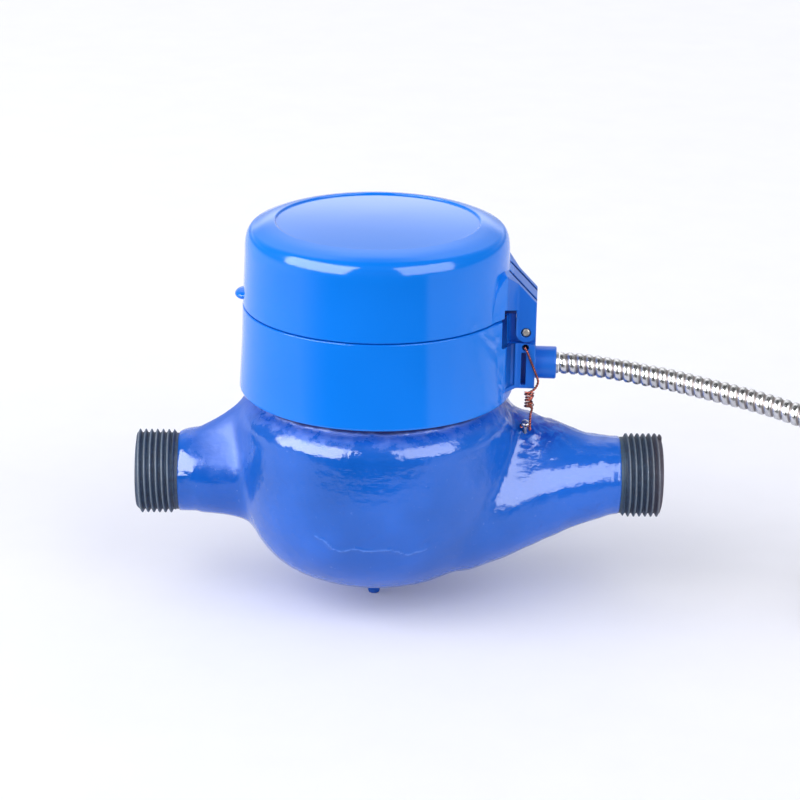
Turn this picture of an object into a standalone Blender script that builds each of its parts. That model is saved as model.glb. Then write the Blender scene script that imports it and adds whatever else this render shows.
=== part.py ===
"""Remote-reading water meter, DN15, multi-jet, dry dial, 165 mm between its pipe ends.

Metres, +Z up. The origin lies where the pipe's axis crosses the register's axis, and +X runs
along the pipe towards the inlet. A cast iron body carries a moulded housing with a hinged lid,
and a steel conduit with the signal lead leaves the housing beside the hinge.
"""

import math

import bmesh
import bpy
from mathutils import Matrix, Vector

CLEARANCE = 0.0003
OVERCUT = 0.002
WELD_DISTANCE = 0.000003
FLATNESS = math.radians(0.05)

# Pipe ends: G 3/4 B threads are 26.44 mm over their crests.
INLET_REACH = 0.090
OUTLET_REACH = 0.075
THREAD_RADIUS = 0.01322
THREAD_ROOT_RADIUS = 0.01206
THREAD_LENGTH = 0.0135
RELIEF_RADIUS = 0.0120
RELIEF_LENGTH = 0.0035
BORE_RADIUS = 0.0080

# Body casting: a bowl on the register's axis with two flared necks.
SHOULDER_STEP = 0.0054
BOWL_EQUATOR = 0.0190
BOWL_DEPTH = 0.0502
BOWL_FULLNESS = 3.3
BOWL_WALL = 0.0046
CROWN_DROP = 0.0028
CROWN_RADIUS = 0.0240
SHOULDER_RADIUS = 0.0080
NUB_RADIUS = 0.0019
# Stations along each neck: distance from the register's axis, height of the centre, radius.
INLET_FLARE = ((0.0670, -0.0004, 0.0143), (0.0580, -0.0006, 0.0171), (0.0490, -0.0006, 0.0206),
               (0.0364, -0.0008, 0.0257), (0.0240, -0.0012, 0.0290))
OUTLET_FLARE = ((0.0560, 0.0008, 0.0133), (0.0500, 0.0022, 0.0156), (0.0440, 0.0042, 0.0184),
                (0.0380, 0.0058, 0.0216), (0.0300, 0.0065, 0.0250))
NUB_LENGTH = 0.0058
BOSS_WALL = 0.0045
BOSS_TOP = 0.0365
SEAT_HEIGHT = 0.0190
SEAT_RADIUS = 0.0315
HEAD_BORE_RADIUS = 0.0335
PARTITION_TOP = 0.0005
PARTITION_THICKNESS = 0.0040
UPPER_CHANNEL_TOP = 0.0130
UPPER_CHANNEL_ROOF = 0.0165

# Measuring chamber.
BASKET_RADIUS = 0.0280
BASKET_LOWER_INSET = 0.0020
BASKET_WALL = 0.0018
BASKET_FLANGE_WIDTH = 0.0030
BASKET_FLANGE_THICKNESS = 0.0025
BASKET_GROUND_GAP = 0.0082
BASKET_HEADROOM = 0.0040
JET_COUNT = 6
JET_WIDTH = 0.0034
JET_HEIGHT = 0.0050
JET_RISE = 0.0069
PORT_DROP = 0.0065
STRAINER_WALL = 0.0012
STRAINER_BARS = 12
COVER_THICKNESS = 0.0017
IMPELLER_RADIUS = 0.0225
IMPELLER_BLADES = 8
BLADE_THICKNESS = 0.0010
BLADE_RISE = 0.0039
BLADE_HEIGHT = 0.0085
HUB_RADIUS = 0.0035
MAGNET_RADIUS = 0.0085
MAGNET_HEIGHT = 0.0050
PIVOT_RADIUS = 0.00075

# Pressure seal and head ring.
GASKET_THICKNESS = 0.0013
GASKET_WIDTH = 0.0015
PLATE_THICKNESS = 0.0025
HEAD_RING_RADIUS = 0.0332
HEAD_RING_BORE = 0.0292
HEAD_FLANGE_RADIUS = 0.0372
HEAD_FLANGE_THICKNESS = 0.0020
SPANNER_NOTCHES = 4

# Register.
CUP_RADIUS = 0.0285
CUP_WALL = 0.0016
TRAY_RADIUS = 0.0364
TRAY_FLOOR = 0.0018
DIAL_RISE = 0.0086
DIAL_THICKNESS = 0.0008
DIAL_RADIUS = 0.0343
GLASS_GAP = 0.0048
GLASS_THICKNESS = 0.0020
GLASS_RADIUS = 0.0352
BEZEL_BORE = 0.0325
BEZEL_THICKNESS = 0.0015
MOVEMENT_DROP = 0.0140
MOVEMENT_THICKNESS = 0.0012
MOVEMENT_RADIUS = 0.0272
SPINDLE_RADIUS = 0.0005
GEAR_MODULE = 0.00053
PINION_TEETH = 6
WHEEL_TEETH = 30
GEAR_THICKNESS = 0.0008
FIRST_GEAR_BEARING = -20.0
SECOND_GEAR_BEARING = -110.0
DIGIT_COUNT = 5
DIGIT_RADIUS = 0.0046
DIGIT_WIDTH = 0.0045
DIGIT_AXIS_Y = 0.0080
DIGIT_SHAFT_RADIUS = 0.0006
CHEEK_THICKNESS = 0.0011
WINDOW_DEPTH = 0.0056

# Moulded housing and lid.
SKIRT_DROP = 0.0072
SKIRT_FLARE = 0.00115
SEAM_RISE = 0.0015
SEAM_LEDGE = 0.00275
HOUSING_WALL = 0.0024
LEDGE_BORE = 0.0340
LEDGE_THICKNESS = 0.0020
LIP_HEIGHT = 0.0019
LIP_WALL = 0.0015
LIP_GAP = 0.0006
LID_DRAFT = 0.00075
LID_CORNER_RISE = 0.0087
LID_CORNER_RUN = 0.0043
LID_CORNER_FULLNESS = 3.0
LID_RIM_RISE = 0.0017
LID_HEIGHT = 0.0263
LID_WALL = 0.0020
DISC_RADIUS = 0.0312
DISC_RECESS = 0.0005
DISC_CROWN = 0.0004
TAB_LENGTH = 0.0120
TAB_HEIGHT = 0.0040
TAB_REACH = 0.0028

# Hinge bracket, in its own frame: x outward from the register's axis, y across, z up.
BRACKET_BEARING = -4.0
BRACKET_HALF_WIDTH = 0.00875
BRACKET_REACH = 0.00795
BRACKET_RISE = 0.0034
LUG_GAP = 0.0004
BRACKET_EDGE_DROP = 0.0007
GUSSET_DEPTH = 0.0057
GUSSET_TANGENT = 28.2
GUSSET_ROOT_X = 0.0315
GUSSET_ROOT_Y = 0.0235
PIN_RADIUS = 0.0012
LUG_RADIUS = 0.00305
PIN_DROP = 0.00545
KNUCKLE_HALF_WIDTH = 0.0060
KNUCKLE_RADIUS = 0.0029
RECESS_DEPTH = 0.0102
HOOD_RISE = 0.0007
HOOD_FACE_HEIGHT = 0.0033
HOOD_SLOPE = 1.05
HOOD_SHOULDER_WIDTH = 0.0110
HOOD_SHOULDER_HEIGHT = 0.0140
HOOD_SHOULDER_FULLNESS = 2.3
GROOVE_Y = 0.0061
GROOVE_WIDTH = 0.0010
GROOVE_DEPTH = 0.0008
SLOT_INSET = 0.0035
SLOT_WIDTH = 0.0015
SLOT_FOOT = 0.0010
SLOT_DROP = 0.0017
SEAL_HOLE_RADIUS = 0.00105
SEAL_HOLE_DROP = 0.0013
BOX_WALL = 0.0020
BOX_HEADROOM = 0.00535

# Gland and conduit.
GLAND_RADIUS = 0.0050
GLAND_LENGTH = 0.0065
GLAND_BORE = 0.0039
GLAND_FOOT = 0.00065
ENTRY_BORE = 0.0018
ENTRY_REACH = 0.0008
LEAD_RADIUS = 0.0013
CONDUIT_RADIUS = 0.0034
COIL_CENTRE = (0.1855, -0.0254)
COIL_FIRST_RADIUS = 0.0310
COIL_PITCH = 0.0070
COIL_TURNS = 2.44
COIL_START_BEARING = 239.0
RAMP_TURNS = 0.90
END_SLEEVE_RADIUS = 0.0040
END_SLEEVE_LENGTH = 0.0140
END_RUN = 0.0160
TAIL_RADIUS = 0.0019

# Seal: drilled screw on the body and copper wire.
SCREW_OUT = 0.0029
SCREW_BEARING = 24.0
SCREW_HEAD_RADIUS = 0.0013
SCREW_HEAD_HEIGHT = 0.0014
SCREW_SHANK_RADIUS = 0.0007
SCREW_SHANK_LENGTH = 0.0040
WIRE_RADIUS = 0.0003

BODY_STEPS = 36
CAVITY_STEPS = 24
SHELL_STEPS = 36
CASE_STEPS = 28
PIECE_STEPS = 20
NECK_SIDES = 20
SMALL_STEPS = 10
SHARP_ANGLE = math.radians(32)

BOSS_RADIUS = HEAD_BORE_RADIUS + BOSS_WALL
BOWL_RADIUS = BOSS_RADIUS + SHOULDER_STEP
UPPER_CHANNEL_RADIUS = BOWL_RADIUS - BOWL_WALL
LIP_BORE = TRAY_RADIUS + LIP_GAP
LIP_RADIUS = LIP_BORE + LIP_WALL
SEAM_RADIUS = LIP_RADIUS + SEAM_LEDGE
SKIRT_RADIUS = SEAM_RADIUS + SKIRT_FLARE
LID_RADIUS = SEAM_RADIUS - LID_DRAFT
BRACKET_FACE = SEAM_RADIUS + BRACKET_REACH
GUSSET_FACE_X = BRACKET_FACE - GUSSET_DEPTH
RECESS_X = BRACKET_FACE - RECESS_DEPTH
SLOT_X = BRACKET_FACE - SLOT_INSET
SCREW_X = BOWL_RADIUS + SCREW_OUT
PIN_X = BRACKET_FACE - LUG_RADIUS
BASKET_LOWER_RADIUS = BASKET_RADIUS - BASKET_LOWER_INSET
BASKET_FLANGE_RADIUS = BASKET_RADIUS + BASKET_FLANGE_WIDTH
BOWL_BOTTOM = BOWL_EQUATOR - BOWL_DEPTH
NUB_TIP = BOWL_BOTTOM - CROWN_DROP - NUB_LENGTH
BASKET_BOTTOM = BOWL_BOTTOM + BOWL_WALL + BASKET_GROUND_GAP
BASKET_TOP = SEAT_HEIGHT - BASKET_HEADROOM
JET_LEVEL = BASKET_BOTTOM + JET_RISE
PORT_LEVEL = BASKET_TOP - PORT_DROP
BLADE_BOTTOM = BASKET_BOTTOM + BLADE_RISE
BLADE_TOP = BLADE_BOTTOM + BLADE_HEIGHT
PARTITION_BOTTOM = PARTITION_TOP - PARTITION_THICKNESS
GASKET_BOTTOM = SEAT_HEIGHT + CLEARANCE
PLATE_BOTTOM = GASKET_BOTTOM + GASKET_THICKNESS + CLEARANCE
PLATE_TOP = PLATE_BOTTOM + PLATE_THICKNESS
LEDGE_BOTTOM = BOSS_TOP + CLEARANCE
LEDGE_TOP = LEDGE_BOTTOM + LEDGE_THICKNESS
HEAD_FLANGE_BOTTOM = LEDGE_TOP + CLEARANCE
HEAD_FLANGE_TOP = HEAD_FLANGE_BOTTOM + HEAD_FLANGE_THICKNESS
CUP_BOTTOM = PLATE_TOP + CLEARANCE
TRAY_BOTTOM = HEAD_FLANGE_TOP + CLEARANCE
DIAL_HEIGHT = TRAY_BOTTOM + DIAL_RISE
MOVEMENT_HEIGHT = DIAL_HEIGHT - MOVEMENT_DROP
GLASS_HEIGHT = DIAL_HEIGHT + GLASS_GAP
SEAM_HEIGHT = GLASS_HEIGHT + SEAM_RISE
SKIRT_BOTTOM = LEDGE_BOTTOM - SKIRT_DROP
LID_RIM_TOP = SEAM_HEIGHT + LID_HEIGHT
LID_CORNER_TOP = LID_RIM_TOP - LID_RIM_RISE
LID_CORNER_START = LID_CORNER_TOP - LID_CORNER_RISE
PIN_HEIGHT = SEAM_HEIGHT - PIN_DROP
BRACKET_TOP = PIN_HEIGHT - LUG_RADIUS - LUG_GAP
BRACKET_BOTTOM = SKIRT_BOTTOM + BRACKET_RISE
HOOD_BOTTOM = SEAM_HEIGHT + HOOD_RISE
HOOD_FACE_TOP = HOOD_BOTTOM + HOOD_FACE_HEIGHT
SEAL_HOLE_HEIGHT = BRACKET_TOP - SEAL_HOLE_DROP
SLOT_TOP = SEAL_HOLE_HEIGHT - SLOT_DROP
SLOT_BOTTOM = BRACKET_BOTTOM + SLOT_FOOT
GLAND_HEIGHT = BRACKET_BOTTOM + GLAND_RADIUS + GLAND_FOOT
GLAND_END = BRACKET_FACE + GLAND_LENGTH
BOX_CEILING = GLAND_HEIGHT + BOX_HEADROOM
BRACKET_TURN = Matrix.Rotation(math.radians(BRACKET_BEARING), 4, 'Z')


def clear_scene():
    """Remove what an open file already holds."""
    for item in list(bpy.data.objects):
        bpy.data.objects.remove(item, do_unlink=True)


def linear(value):
    """Turn one 0-255 screen value into the linear value that a shader takes."""
    share = value / 255
    if share <= 0.04045:
        return share / 12.92
    return ((share + 0.055) / 1.055) ** 2.4


def finish(name, colour, roughness, metallic=0.0):
    """Return the Principled material of this name, made on first use."""
    found = bpy.data.materials.get(name)
    if found:
        return found
    made = bpy.data.materials.new(name)
    made.use_nodes = True
    shader = made.node_tree.nodes['Principled BSDF']
    shader.inputs['Base Color'].default_value = [linear(v) for v in colour] + [1.0]
    shader.inputs['Roughness'].default_value = roughness
    shader.inputs['Metallic'].default_value = metallic
    return made


def enamel():
    return finish('body_enamel', (40, 96, 196), 0.25)


def housing_plastic():
    return finish('housing_plastic', (30, 126, 232), 0.2)


def black_plastic():
    return finish('black_plastic', (32, 34, 38), 0.45)


def white_plastic():
    return finish('white_plastic', (225, 228, 230), 0.4)


def red_plastic():
    return finish('red_plastic', (190, 30, 28), 0.4)


def brass():
    return finish('brass', (190, 150, 80), 0.35, 1.0)


def steel():
    return finish('steel', (185, 186, 188), 0.3, 1.0)


def magnet_ferrite():
    return finish('magnet_ferrite', (60, 60, 62), 0.6)


def rubber():
    return finish('seal_rubber', (28, 28, 28), 0.7)


def copper():
    return finish('seal_copper', (150, 86, 66), 0.35, 1.0)


def to_object(name, bm, coat, place=None):
    """Close a bmesh into an object of this name, with its faces pointing out."""
    if place is not None:
        bmesh.ops.transform(bm, matrix=place, verts=bm.verts)
    bmesh.ops.recalc_face_normals(bm, faces=bm.faces)
    mesh = bpy.data.meshes.new(name)
    bm.to_mesh(mesh)
    bm.free()
    if coat is not None:
        mesh.materials.append(coat)
    made = bpy.data.objects.new(name, mesh)
    bpy.context.scene.collection.objects.link(made)
    return made


def turned(name, profile, coat=None, steps=PIECE_STEPS, place=None):
    """Spin a closed outline of (radius, height) points about Z."""
    bm = bmesh.new()
    verts = [bm.verts.new((radius, 0.0, height)) for radius, height in profile]
    edges = []
    for first, second in zip(verts, verts[1:] + verts[:1]):
        on_axis = abs(first.co.x) < 1e-9 and abs(second.co.x) < 1e-9
        if not on_axis:
            edges.append(bm.edges.new((first, second)))
    bmesh.ops.spin(bm, geom=verts + edges, cent=(0, 0, 0), axis=(0, 0, 1),
                   angle=math.tau, steps=steps, use_merge=True)
    bmesh.ops.remove_doubles(bm, verts=bm.verts, dist=1e-6)
    return to_object(name, bm, coat, place)


def prism(name, outline, axis, start, end, coat=None, place=None):
    """Extrude a flat outline along X, Y or Z from start to end."""
    spots = {'X': lambda a, b: (start, a, b), 'Y': lambda a, b: (a, start, b), 'Z': lambda a, b: (a, b, start)}
    headings = {'X': Vector((1, 0, 0)), 'Y': Vector((0, 1, 0)), 'Z': Vector((0, 0, 1))}
    bm = bmesh.new()
    face = bm.faces.new([bm.verts.new(spots[axis](a, b)) for a, b in outline])
    grown = bmesh.ops.extrude_face_region(bm, geom=[face])['geom']
    moved = [item for item in grown if isinstance(item, bmesh.types.BMVert)]
    bmesh.ops.translate(bm, verts=moved, vec=headings[axis] * (end - start))
    return to_object(name, bm, coat, place)


def block(name, low, high, coat=None, place=None):
    """A box between two corners."""
    outline = [(low[0], low[1]), (high[0], low[1]), (high[0], high[1]), (low[0], high[1])]
    return prism(name, outline, 'Z', low[2], high[2], coat, place)


def rod(name, start, end, radius, coat=None, steps=SMALL_STEPS, place=None):
    """A round bar between two points."""
    start, end = Vector(start), Vector(end)
    length = (end - start).length
    seat = Matrix.Translation(start) @ (end - start).to_track_quat('Z', 'Y').to_matrix().to_4x4()
    if place is not None:
        seat = place @ seat
    return turned(name, [(0, 0), (radius, 0), (radius, length), (0, length)], coat, steps, seat)


def lofted(name, rings, coat=None):
    """Skin a row of equal rings of points and close both ends."""
    bm = bmesh.new()
    rows = [[bm.verts.new(point) for point in ring] for ring in rings]
    for first, second in zip(rows, rows[1:]):
        count = len(first)
        for spot in range(count):
            following = (spot + 1) % count
            bm.faces.new((first[spot], first[following], second[following], second[spot]))
    bm.faces.new(rows[0])
    bm.faces.new(rows[-1])
    return to_object(name, bm, coat)


def swept(name, route, radius, coat=None, sides=SMALL_STEPS):
    """Carry a round section along a route, square to it at each point."""
    points = [Vector(point) for point in route]
    side = Vector((0, 1, 0))
    rings = []
    for spot, point in enumerate(points):
        before = points[max(spot - 1, 0)]
        after = points[min(spot + 1, len(points) - 1)]
        heading = (after - before).normalized()
        side = (side - heading * side.dot(heading)).normalized()
        other = heading.cross(side)
        angles = [math.tau * step / sides for step in range(sides)]
        rings.append([point + (side * math.cos(a) + other * math.sin(a)) * radius for a in angles])
    return lofted(name, rings, coat)


def combine(target, other, operation):
    """Apply one Boolean to the target and remove the other object."""
    modifier = target.modifiers.new(operation.lower(), 'BOOLEAN')
    modifier.operation = operation
    modifier.object = other
    with bpy.context.temp_override(object=target, active_object=target, selected_objects=[target]):
        bpy.ops.object.modifier_apply(modifier=modifier.name)
    bpy.data.objects.remove(other, do_unlink=True)
    bm = bmesh.new()
    bm.from_mesh(target.data)
    bmesh.ops.remove_doubles(bm, verts=bm.verts, dist=WELD_DISTANCE)
    bmesh.ops.dissolve_degenerate(bm, edges=bm.edges, dist=WELD_DISTANCE)
    bmesh.ops.dissolve_limit(bm, angle_limit=FLATNESS, verts=bm.verts, edges=bm.edges)
    bm.to_mesh(target.data)
    bm.free()
    return target


def add(target, *others):
    for other in others:
        combine(target, other, 'UNION')
    return target


def cut(target, *others):
    for other in others:
        combine(target, other, 'DIFFERENCE')
    return target


def keep_common(target, *others):
    for other in others:
        combine(target, other, 'INTERSECT')
    return target


def boxes_round(name, count, radius, size, height, turn=0.0, skew=0.0):
    """Separate boxes in a ring about Z, each turned by skew from the radius."""
    bm = bmesh.new()
    for spot in range(count):
        bearing = turn + math.tau * spot / count
        place = (Matrix.Rotation(bearing, 4, 'Z') @ Matrix.Translation((radius, 0, height))
                 @ Matrix.Rotation(skew, 4, 'Z') @ Matrix.Diagonal((*size, 1)))
        bmesh.ops.create_cube(bm, size=1.0, matrix=place)
    return to_object(name, bm, None)


def arc(centre, radius, start, end, steps):
    """Points on an arc, in degrees, both ends included."""
    turns = [math.radians(start + (end - start) * step / steps) for step in range(steps + 1)]
    return [(centre[0] + radius * math.cos(a), centre[1] + radius * math.sin(a)) for a in turns]


def smooth_route(points, spacing):
    """Read points at about this spacing from a Catmull-Rom curve through the route's points."""
    knots = [Vector(point) for point in points]
    first = knots[0] * 2 - knots[1]
    last = knots[-1] * 2 - knots[-2]
    padded = [first] + knots + [last]
    samples = []
    for a, b, c, d in zip(padded, padded[1:], padded[2:], padded[3:]):
        count = max(1, round((c - b).length / spacing))
        for step in range(count):
            t = step / count
            samples.append(0.5 * (2 * b + (c - a) * t + (2 * a - 5 * b + 4 * c - d) * t ** 2
                                  + (3 * b - a - 3 * c + d) * t ** 3))
    samples.append(knots[-1])
    return samples


def cable(name, route, radius, coat, roundness=2):
    """A POLY curve with a round bevel and filled caps."""
    data = bpy.data.curves.new(name, 'CURVE')
    data.dimensions = '3D'
    data.bevel_depth = radius
    data.bevel_resolution = roundness
    data.use_fill_caps = True
    spline = data.splines.new('POLY')
    spline.points.add(len(route) - 1)
    for point, spot in zip(spline.points, route):
        point.co = (*spot, 1.0)
    data.materials.append(coat)
    made = bpy.data.objects.new(name, data)
    bpy.context.scene.collection.objects.link(made)
    return made


def bowl_outline(wall=0.0, steps=9):
    """The bowl's outer or inner wall, from its equator down to the register's axis."""
    radius = BOWL_RADIUS - wall
    depth = BOWL_DEPTH - wall
    power = 2 / BOWL_FULLNESS
    points = []
    for step in range(steps + 1):
        turn = math.pi / 2 * step / steps
        r = radius * math.cos(turn) ** power if step < steps else 0.0
        z = BOWL_EQUATOR - depth * math.sin(turn) ** power
        if wall == 0.0 and r < CROWN_RADIUS:
            z -= CROWN_DROP * (1 - (r / CROWN_RADIUS) ** 2) ** 2
        points.append((r, z))
    return points


def bowl_radius_at(height, wall):
    """The radius of the bowl's wall at a height below its equator."""
    share = (BOWL_EQUATOR - height) / (BOWL_DEPTH - wall)
    return (BOWL_RADIUS - wall) * (1 - share ** BOWL_FULLNESS) ** (1 / BOWL_FULLNESS)


def neck(name, stations, sides=NECK_SIDES):
    """A neck along X from stations of (x, centre height, radius)."""
    rings = []
    for x, height, radius in stations:
        angles = [math.tau * (step + 0.5) / sides for step in range(sides)]
        rings.append([(x, radius * math.cos(a), height + radius * math.sin(a)) for a in angles])
    return lofted(name, rings)


def spud_stations(reach, towards):
    """The threaded end of a neck: a chamfer, the thread's length and a relief behind it."""
    chamfer = THREAD_RADIUS - THREAD_ROOT_RADIUS
    inner = reach - THREAD_LENGTH
    radii = [(reach, THREAD_ROOT_RADIUS), (reach - chamfer, THREAD_RADIUS), (inner, THREAD_RADIUS),
             (inner - chamfer, RELIEF_RADIUS), (inner - RELIEF_LENGTH, RELIEF_RADIUS)]
    return [(towards * x, 0.0, radius) for x, radius in radii]


def make_body():
    """The casting: bowl, boss, two necks, channels and the partition between them."""
    shoulder = arc((BOWL_RADIUS - SHOULDER_RADIUS, BOWL_EQUATOR), SHOULDER_RADIUS, 0, 72, 4)
    boss = [(BOSS_RADIUS, shoulder[-1][1]), (BOSS_RADIUS, BOSS_TOP), (0.0, BOSS_TOP)]
    # The shoulder runs in under the boss, whose wall then stands on it.
    shoulder = [point for point in shoulder if point[0] > BOSS_RADIUS + 0.0005]
    meet = BOWL_EQUATOR + math.sqrt(SHOULDER_RADIUS ** 2 - (BOSS_RADIUS - BOWL_RADIUS + SHOULDER_RADIUS) ** 2)
    boss[0] = (BOSS_RADIUS, meet)
    outline = list(reversed(bowl_outline())) + shoulder[1:] + boss
    body = turned('meter_body', outline, enamel(), BODY_STEPS)

    inlet = spud_stations(INLET_REACH, 1)
    inlet += list(INLET_FLARE)
    outlet = spud_stations(OUTLET_REACH, -1)
    outlet += [(-x, height, radius) for x, height, radius in OUTLET_FLARE]
    add(body, neck('inlet_neck', inlet), neck('outlet_neck', outlet))
    add(body, rod('nub', (0, 0, NUB_TIP), (0, 0, BOWL_EQUATOR - BOWL_DEPTH + 0.002), NUB_RADIUS))

    lower = [(r, z) for r, z in bowl_outline(BOWL_WALL, 5) if z < PARTITION_BOTTOM - 0.0005]
    lower_edge = (bowl_radius_at(PARTITION_BOTTOM, BOWL_WALL), PARTITION_BOTTOM)
    opening = BASKET_RADIUS + CLEARANCE
    upper = [(opening, PARTITION_BOTTOM), (opening, PARTITION_TOP), (UPPER_CHANNEL_RADIUS, PARTITION_TOP),
             (UPPER_CHANNEL_RADIUS, UPPER_CHANNEL_TOP), (SEAT_RADIUS, UPPER_CHANNEL_ROOF),
             (SEAT_RADIUS, SEAT_HEIGHT), (HEAD_BORE_RADIUS, SEAT_HEIGHT),
             (HEAD_BORE_RADIUS, BOSS_TOP + OVERCUT), (0.0, BOSS_TOP + OVERCUT)]
    cavity = turned('cavity', list(reversed(lower)) + [lower_edge] + upper, None, CAVITY_STEPS)
    inlet_way = [(INLET_REACH + OVERCUT, 0, 0), (0.062, 0, 0), (0.052, 0, -0.0030), (0.030, 0, BLADE_BOTTOM)]
    outlet_way = [(-OUTLET_REACH - OVERCUT, 0, 0), (-0.058, 0, 0.0003), (-0.048, 0, 0.0035), (-0.034, 0, 0.0088)]
    cut(body, cavity, swept('inlet_way', inlet_way, BORE_RADIUS, None, 16),
        swept('outlet_way', outlet_way, BORE_RADIUS, None, 16))
    foot, up = screw_seat()
    hole_radius = SCREW_SHANK_RADIUS + CLEARANCE
    depth = SCREW_SHANK_LENGTH + CLEARANCE
    cut(body, rod('screw_hole', foot - up * depth, foot + up * 0.004, hole_radius, None, 10))
    return body


def screw_seat():
    """Where the sealing screw enters the inlet neck, and the direction that it points."""
    turn = math.radians(SCREW_BEARING)
    up = Vector((0.0, -math.sin(turn), math.cos(turn)))
    for far, near in zip(INLET_FLARE, INLET_FLARE[1:]):
        if near[0] <= SCREW_X <= far[0]:
            break
    share = (SCREW_X - near[0]) / (far[0] - near[0])
    centre = Vector((SCREW_X, 0.0, near[1] + (far[1] - near[1]) * share))
    return centre + up * (near[2] + (far[2] - near[2]) * share), up


def make_sealing_screw():
    """A small drilled screw, standing a wire's thickness off the neck."""
    foot, up = screw_seat()
    lift = CLEARANCE + 2.6 * WIRE_RADIUS
    head_top = lift + SCREW_HEAD_HEIGHT
    profile = [(0, -SCREW_SHANK_LENGTH), (SCREW_SHANK_RADIUS, -SCREW_SHANK_LENGTH), (SCREW_SHANK_RADIUS, lift),
               (SCREW_HEAD_RADIUS, lift), (SCREW_HEAD_RADIUS, head_top - 0.0003),
               (SCREW_HEAD_RADIUS - 0.0003, head_top), (0, head_top)]
    seat = Matrix.Translation(foot) @ up.to_track_quat('Z', 'Y').to_matrix().to_4x4()
    return turned('sealing_screw', profile, steel(), SMALL_STEPS, seat)


def make_strainer():
    """A cup of bars round the jets, which keeps grit out of the chamber."""
    inner = BASKET_LOWER_RADIUS + CLEARANCE
    outer = inner + STRAINER_WALL
    top = PARTITION_TOP - 0.0015
    bottom = BASKET_BOTTOM - CLEARANCE - STRAINER_WALL
    profile = [(0, bottom), (outer, bottom), (outer, top), (inner, top),
               (inner, bottom + STRAINER_WALL), (0, bottom + STRAINER_WALL)]
    strainer = turned('inlet_strainer', profile, white_plastic(), 2 * STRAINER_BARS)
    middle = (inner + outer) / 2
    gap = middle * math.tau / STRAINER_BARS * 0.5
    window = (STRAINER_WALL * 3, gap, (top - bottom) * 0.66)
    cut(strainer, boxes_round('windows', STRAINER_BARS, middle, window, (top + bottom) / 2 + 0.0005))
    return strainer


def make_basket():
    """The measuring chamber: jets below its flange turn the impeller, ports above it let go."""
    lower_in = BASKET_LOWER_RADIUS - BASKET_WALL
    upper_in = BASKET_RADIUS - BASKET_WALL
    floor = BASKET_BOTTOM + BASKET_WALL
    flange = PARTITION_TOP + CLEARANCE
    flange_top = flange + BASKET_FLANGE_THICKNESS
    neck_radius = BASKET_RADIUS - 0.0001
    neck_bottom = PARTITION_TOP - 0.0011
    profile = [(0, BASKET_BOTTOM), (BASKET_LOWER_RADIUS, BASKET_BOTTOM), (BASKET_LOWER_RADIUS, neck_bottom),
               (neck_radius, neck_bottom), (neck_radius, flange), (BASKET_FLANGE_RADIUS, flange),
               (BASKET_FLANGE_RADIUS, flange_top), (BASKET_RADIUS, flange_top), (BASKET_RADIUS, BASKET_TOP),
               (upper_in, BASKET_TOP), (upper_in, flange_top - 0.001), (lower_in, flange_top - 0.003),
               (lower_in, floor), (0, floor)]
    basket = turned('measuring_chamber', profile, black_plastic(), PIECE_STEPS)
    jet = (BASKET_WALL * 6, JET_WIDTH, JET_HEIGHT)
    middle = BASKET_LOWER_RADIUS - BASKET_WALL / 2
    cut(basket, boxes_round('jets', JET_COUNT, middle, jet, JET_LEVEL, 0.1, math.radians(38)),
        boxes_round('ports', JET_COUNT, BASKET_RADIUS - BASKET_WALL / 2, jet, PORT_LEVEL, 0.3, math.radians(-38)))
    hole = PIVOT_RADIUS + CLEARANCE
    cut(basket, rod('pivot_hole', (0, 0, BASKET_BOTTOM - OVERCUT), (0, 0, floor + OVERCUT), hole))
    return basket


def impeller_levels():
    """Heights that the impeller shares with its pivot, magnet and cover."""
    socket_top = BLADE_BOTTOM + 0.0015
    seat = BASKET_TOP - 0.0070
    hub_top = seat + MAGNET_HEIGHT + CLEARANCE
    return socket_top, seat, hub_top


def make_pivot_pin():
    socket_top = impeller_levels()[0]
    return rod('pivot_pin', (0, 0, BASKET_BOTTOM), (0, 0, socket_top - CLEARANCE), PIVOT_RADIUS, steel(), 10)


def make_impeller():
    """Hub, straight blades and the seat of the drive magnet, moulded in one."""
    socket_top, seat, hub_top = impeller_levels()
    socket = PIVOT_RADIUS + CLEARANCE
    shaft = HUB_RADIUS * 0.63
    hub = MAGNET_RADIUS * 0.32
    journal = PIVOT_RADIUS
    profile = [(0, socket_top), (socket, socket_top),
               (socket, BLADE_BOTTOM - 0.001), (HUB_RADIUS, BLADE_BOTTOM - 0.001),
               (HUB_RADIUS, BLADE_TOP + 0.001), (shaft, BLADE_TOP + 0.002), (shaft, seat - 0.001),
               (hub * 1.7, seat - 0.001), (hub * 1.7, seat - CLEARANCE), (hub, seat - CLEARANCE), (hub, hub_top),
               (journal, hub_top), (journal, BASKET_TOP - 0.0002), (0, BASKET_TOP - 0.0002)]
    impeller = turned('impeller', profile, white_plastic(), 12)
    outline = []
    root = HUB_RADIUS * 0.8
    half = BLADE_THICKNESS / 2
    for spot in range(IMPELLER_BLADES):
        turn = math.tau * spot / IMPELLER_BLADES
        for along, across in ((root, -half), (IMPELLER_RADIUS, -half), (IMPELLER_RADIUS, half), (root, half)):
            outline.append((along * math.cos(turn) - across * math.sin(turn),
                            along * math.sin(turn) + across * math.cos(turn)))
    star = prism('blades', outline, 'Z', BLADE_BOTTOM, BLADE_TOP)
    core = rod('core', (0, 0, BLADE_BOTTOM - OVERCUT), (0, 0, BLADE_TOP + OVERCUT), HUB_RADIUS * 0.9, None, 12)
    cut(star, core)
    return add(impeller, star)


def make_drive_magnet():
    seat = impeller_levels()[1]
    bore = MAGNET_RADIUS * 0.32 + CLEARANCE
    top = seat + MAGNET_HEIGHT
    profile = [(bore, seat), (MAGNET_RADIUS, seat), (MAGNET_RADIUS, top), (bore, top)]
    return turned('drive_magnet', profile, magnet_ferrite(), 16)


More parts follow.
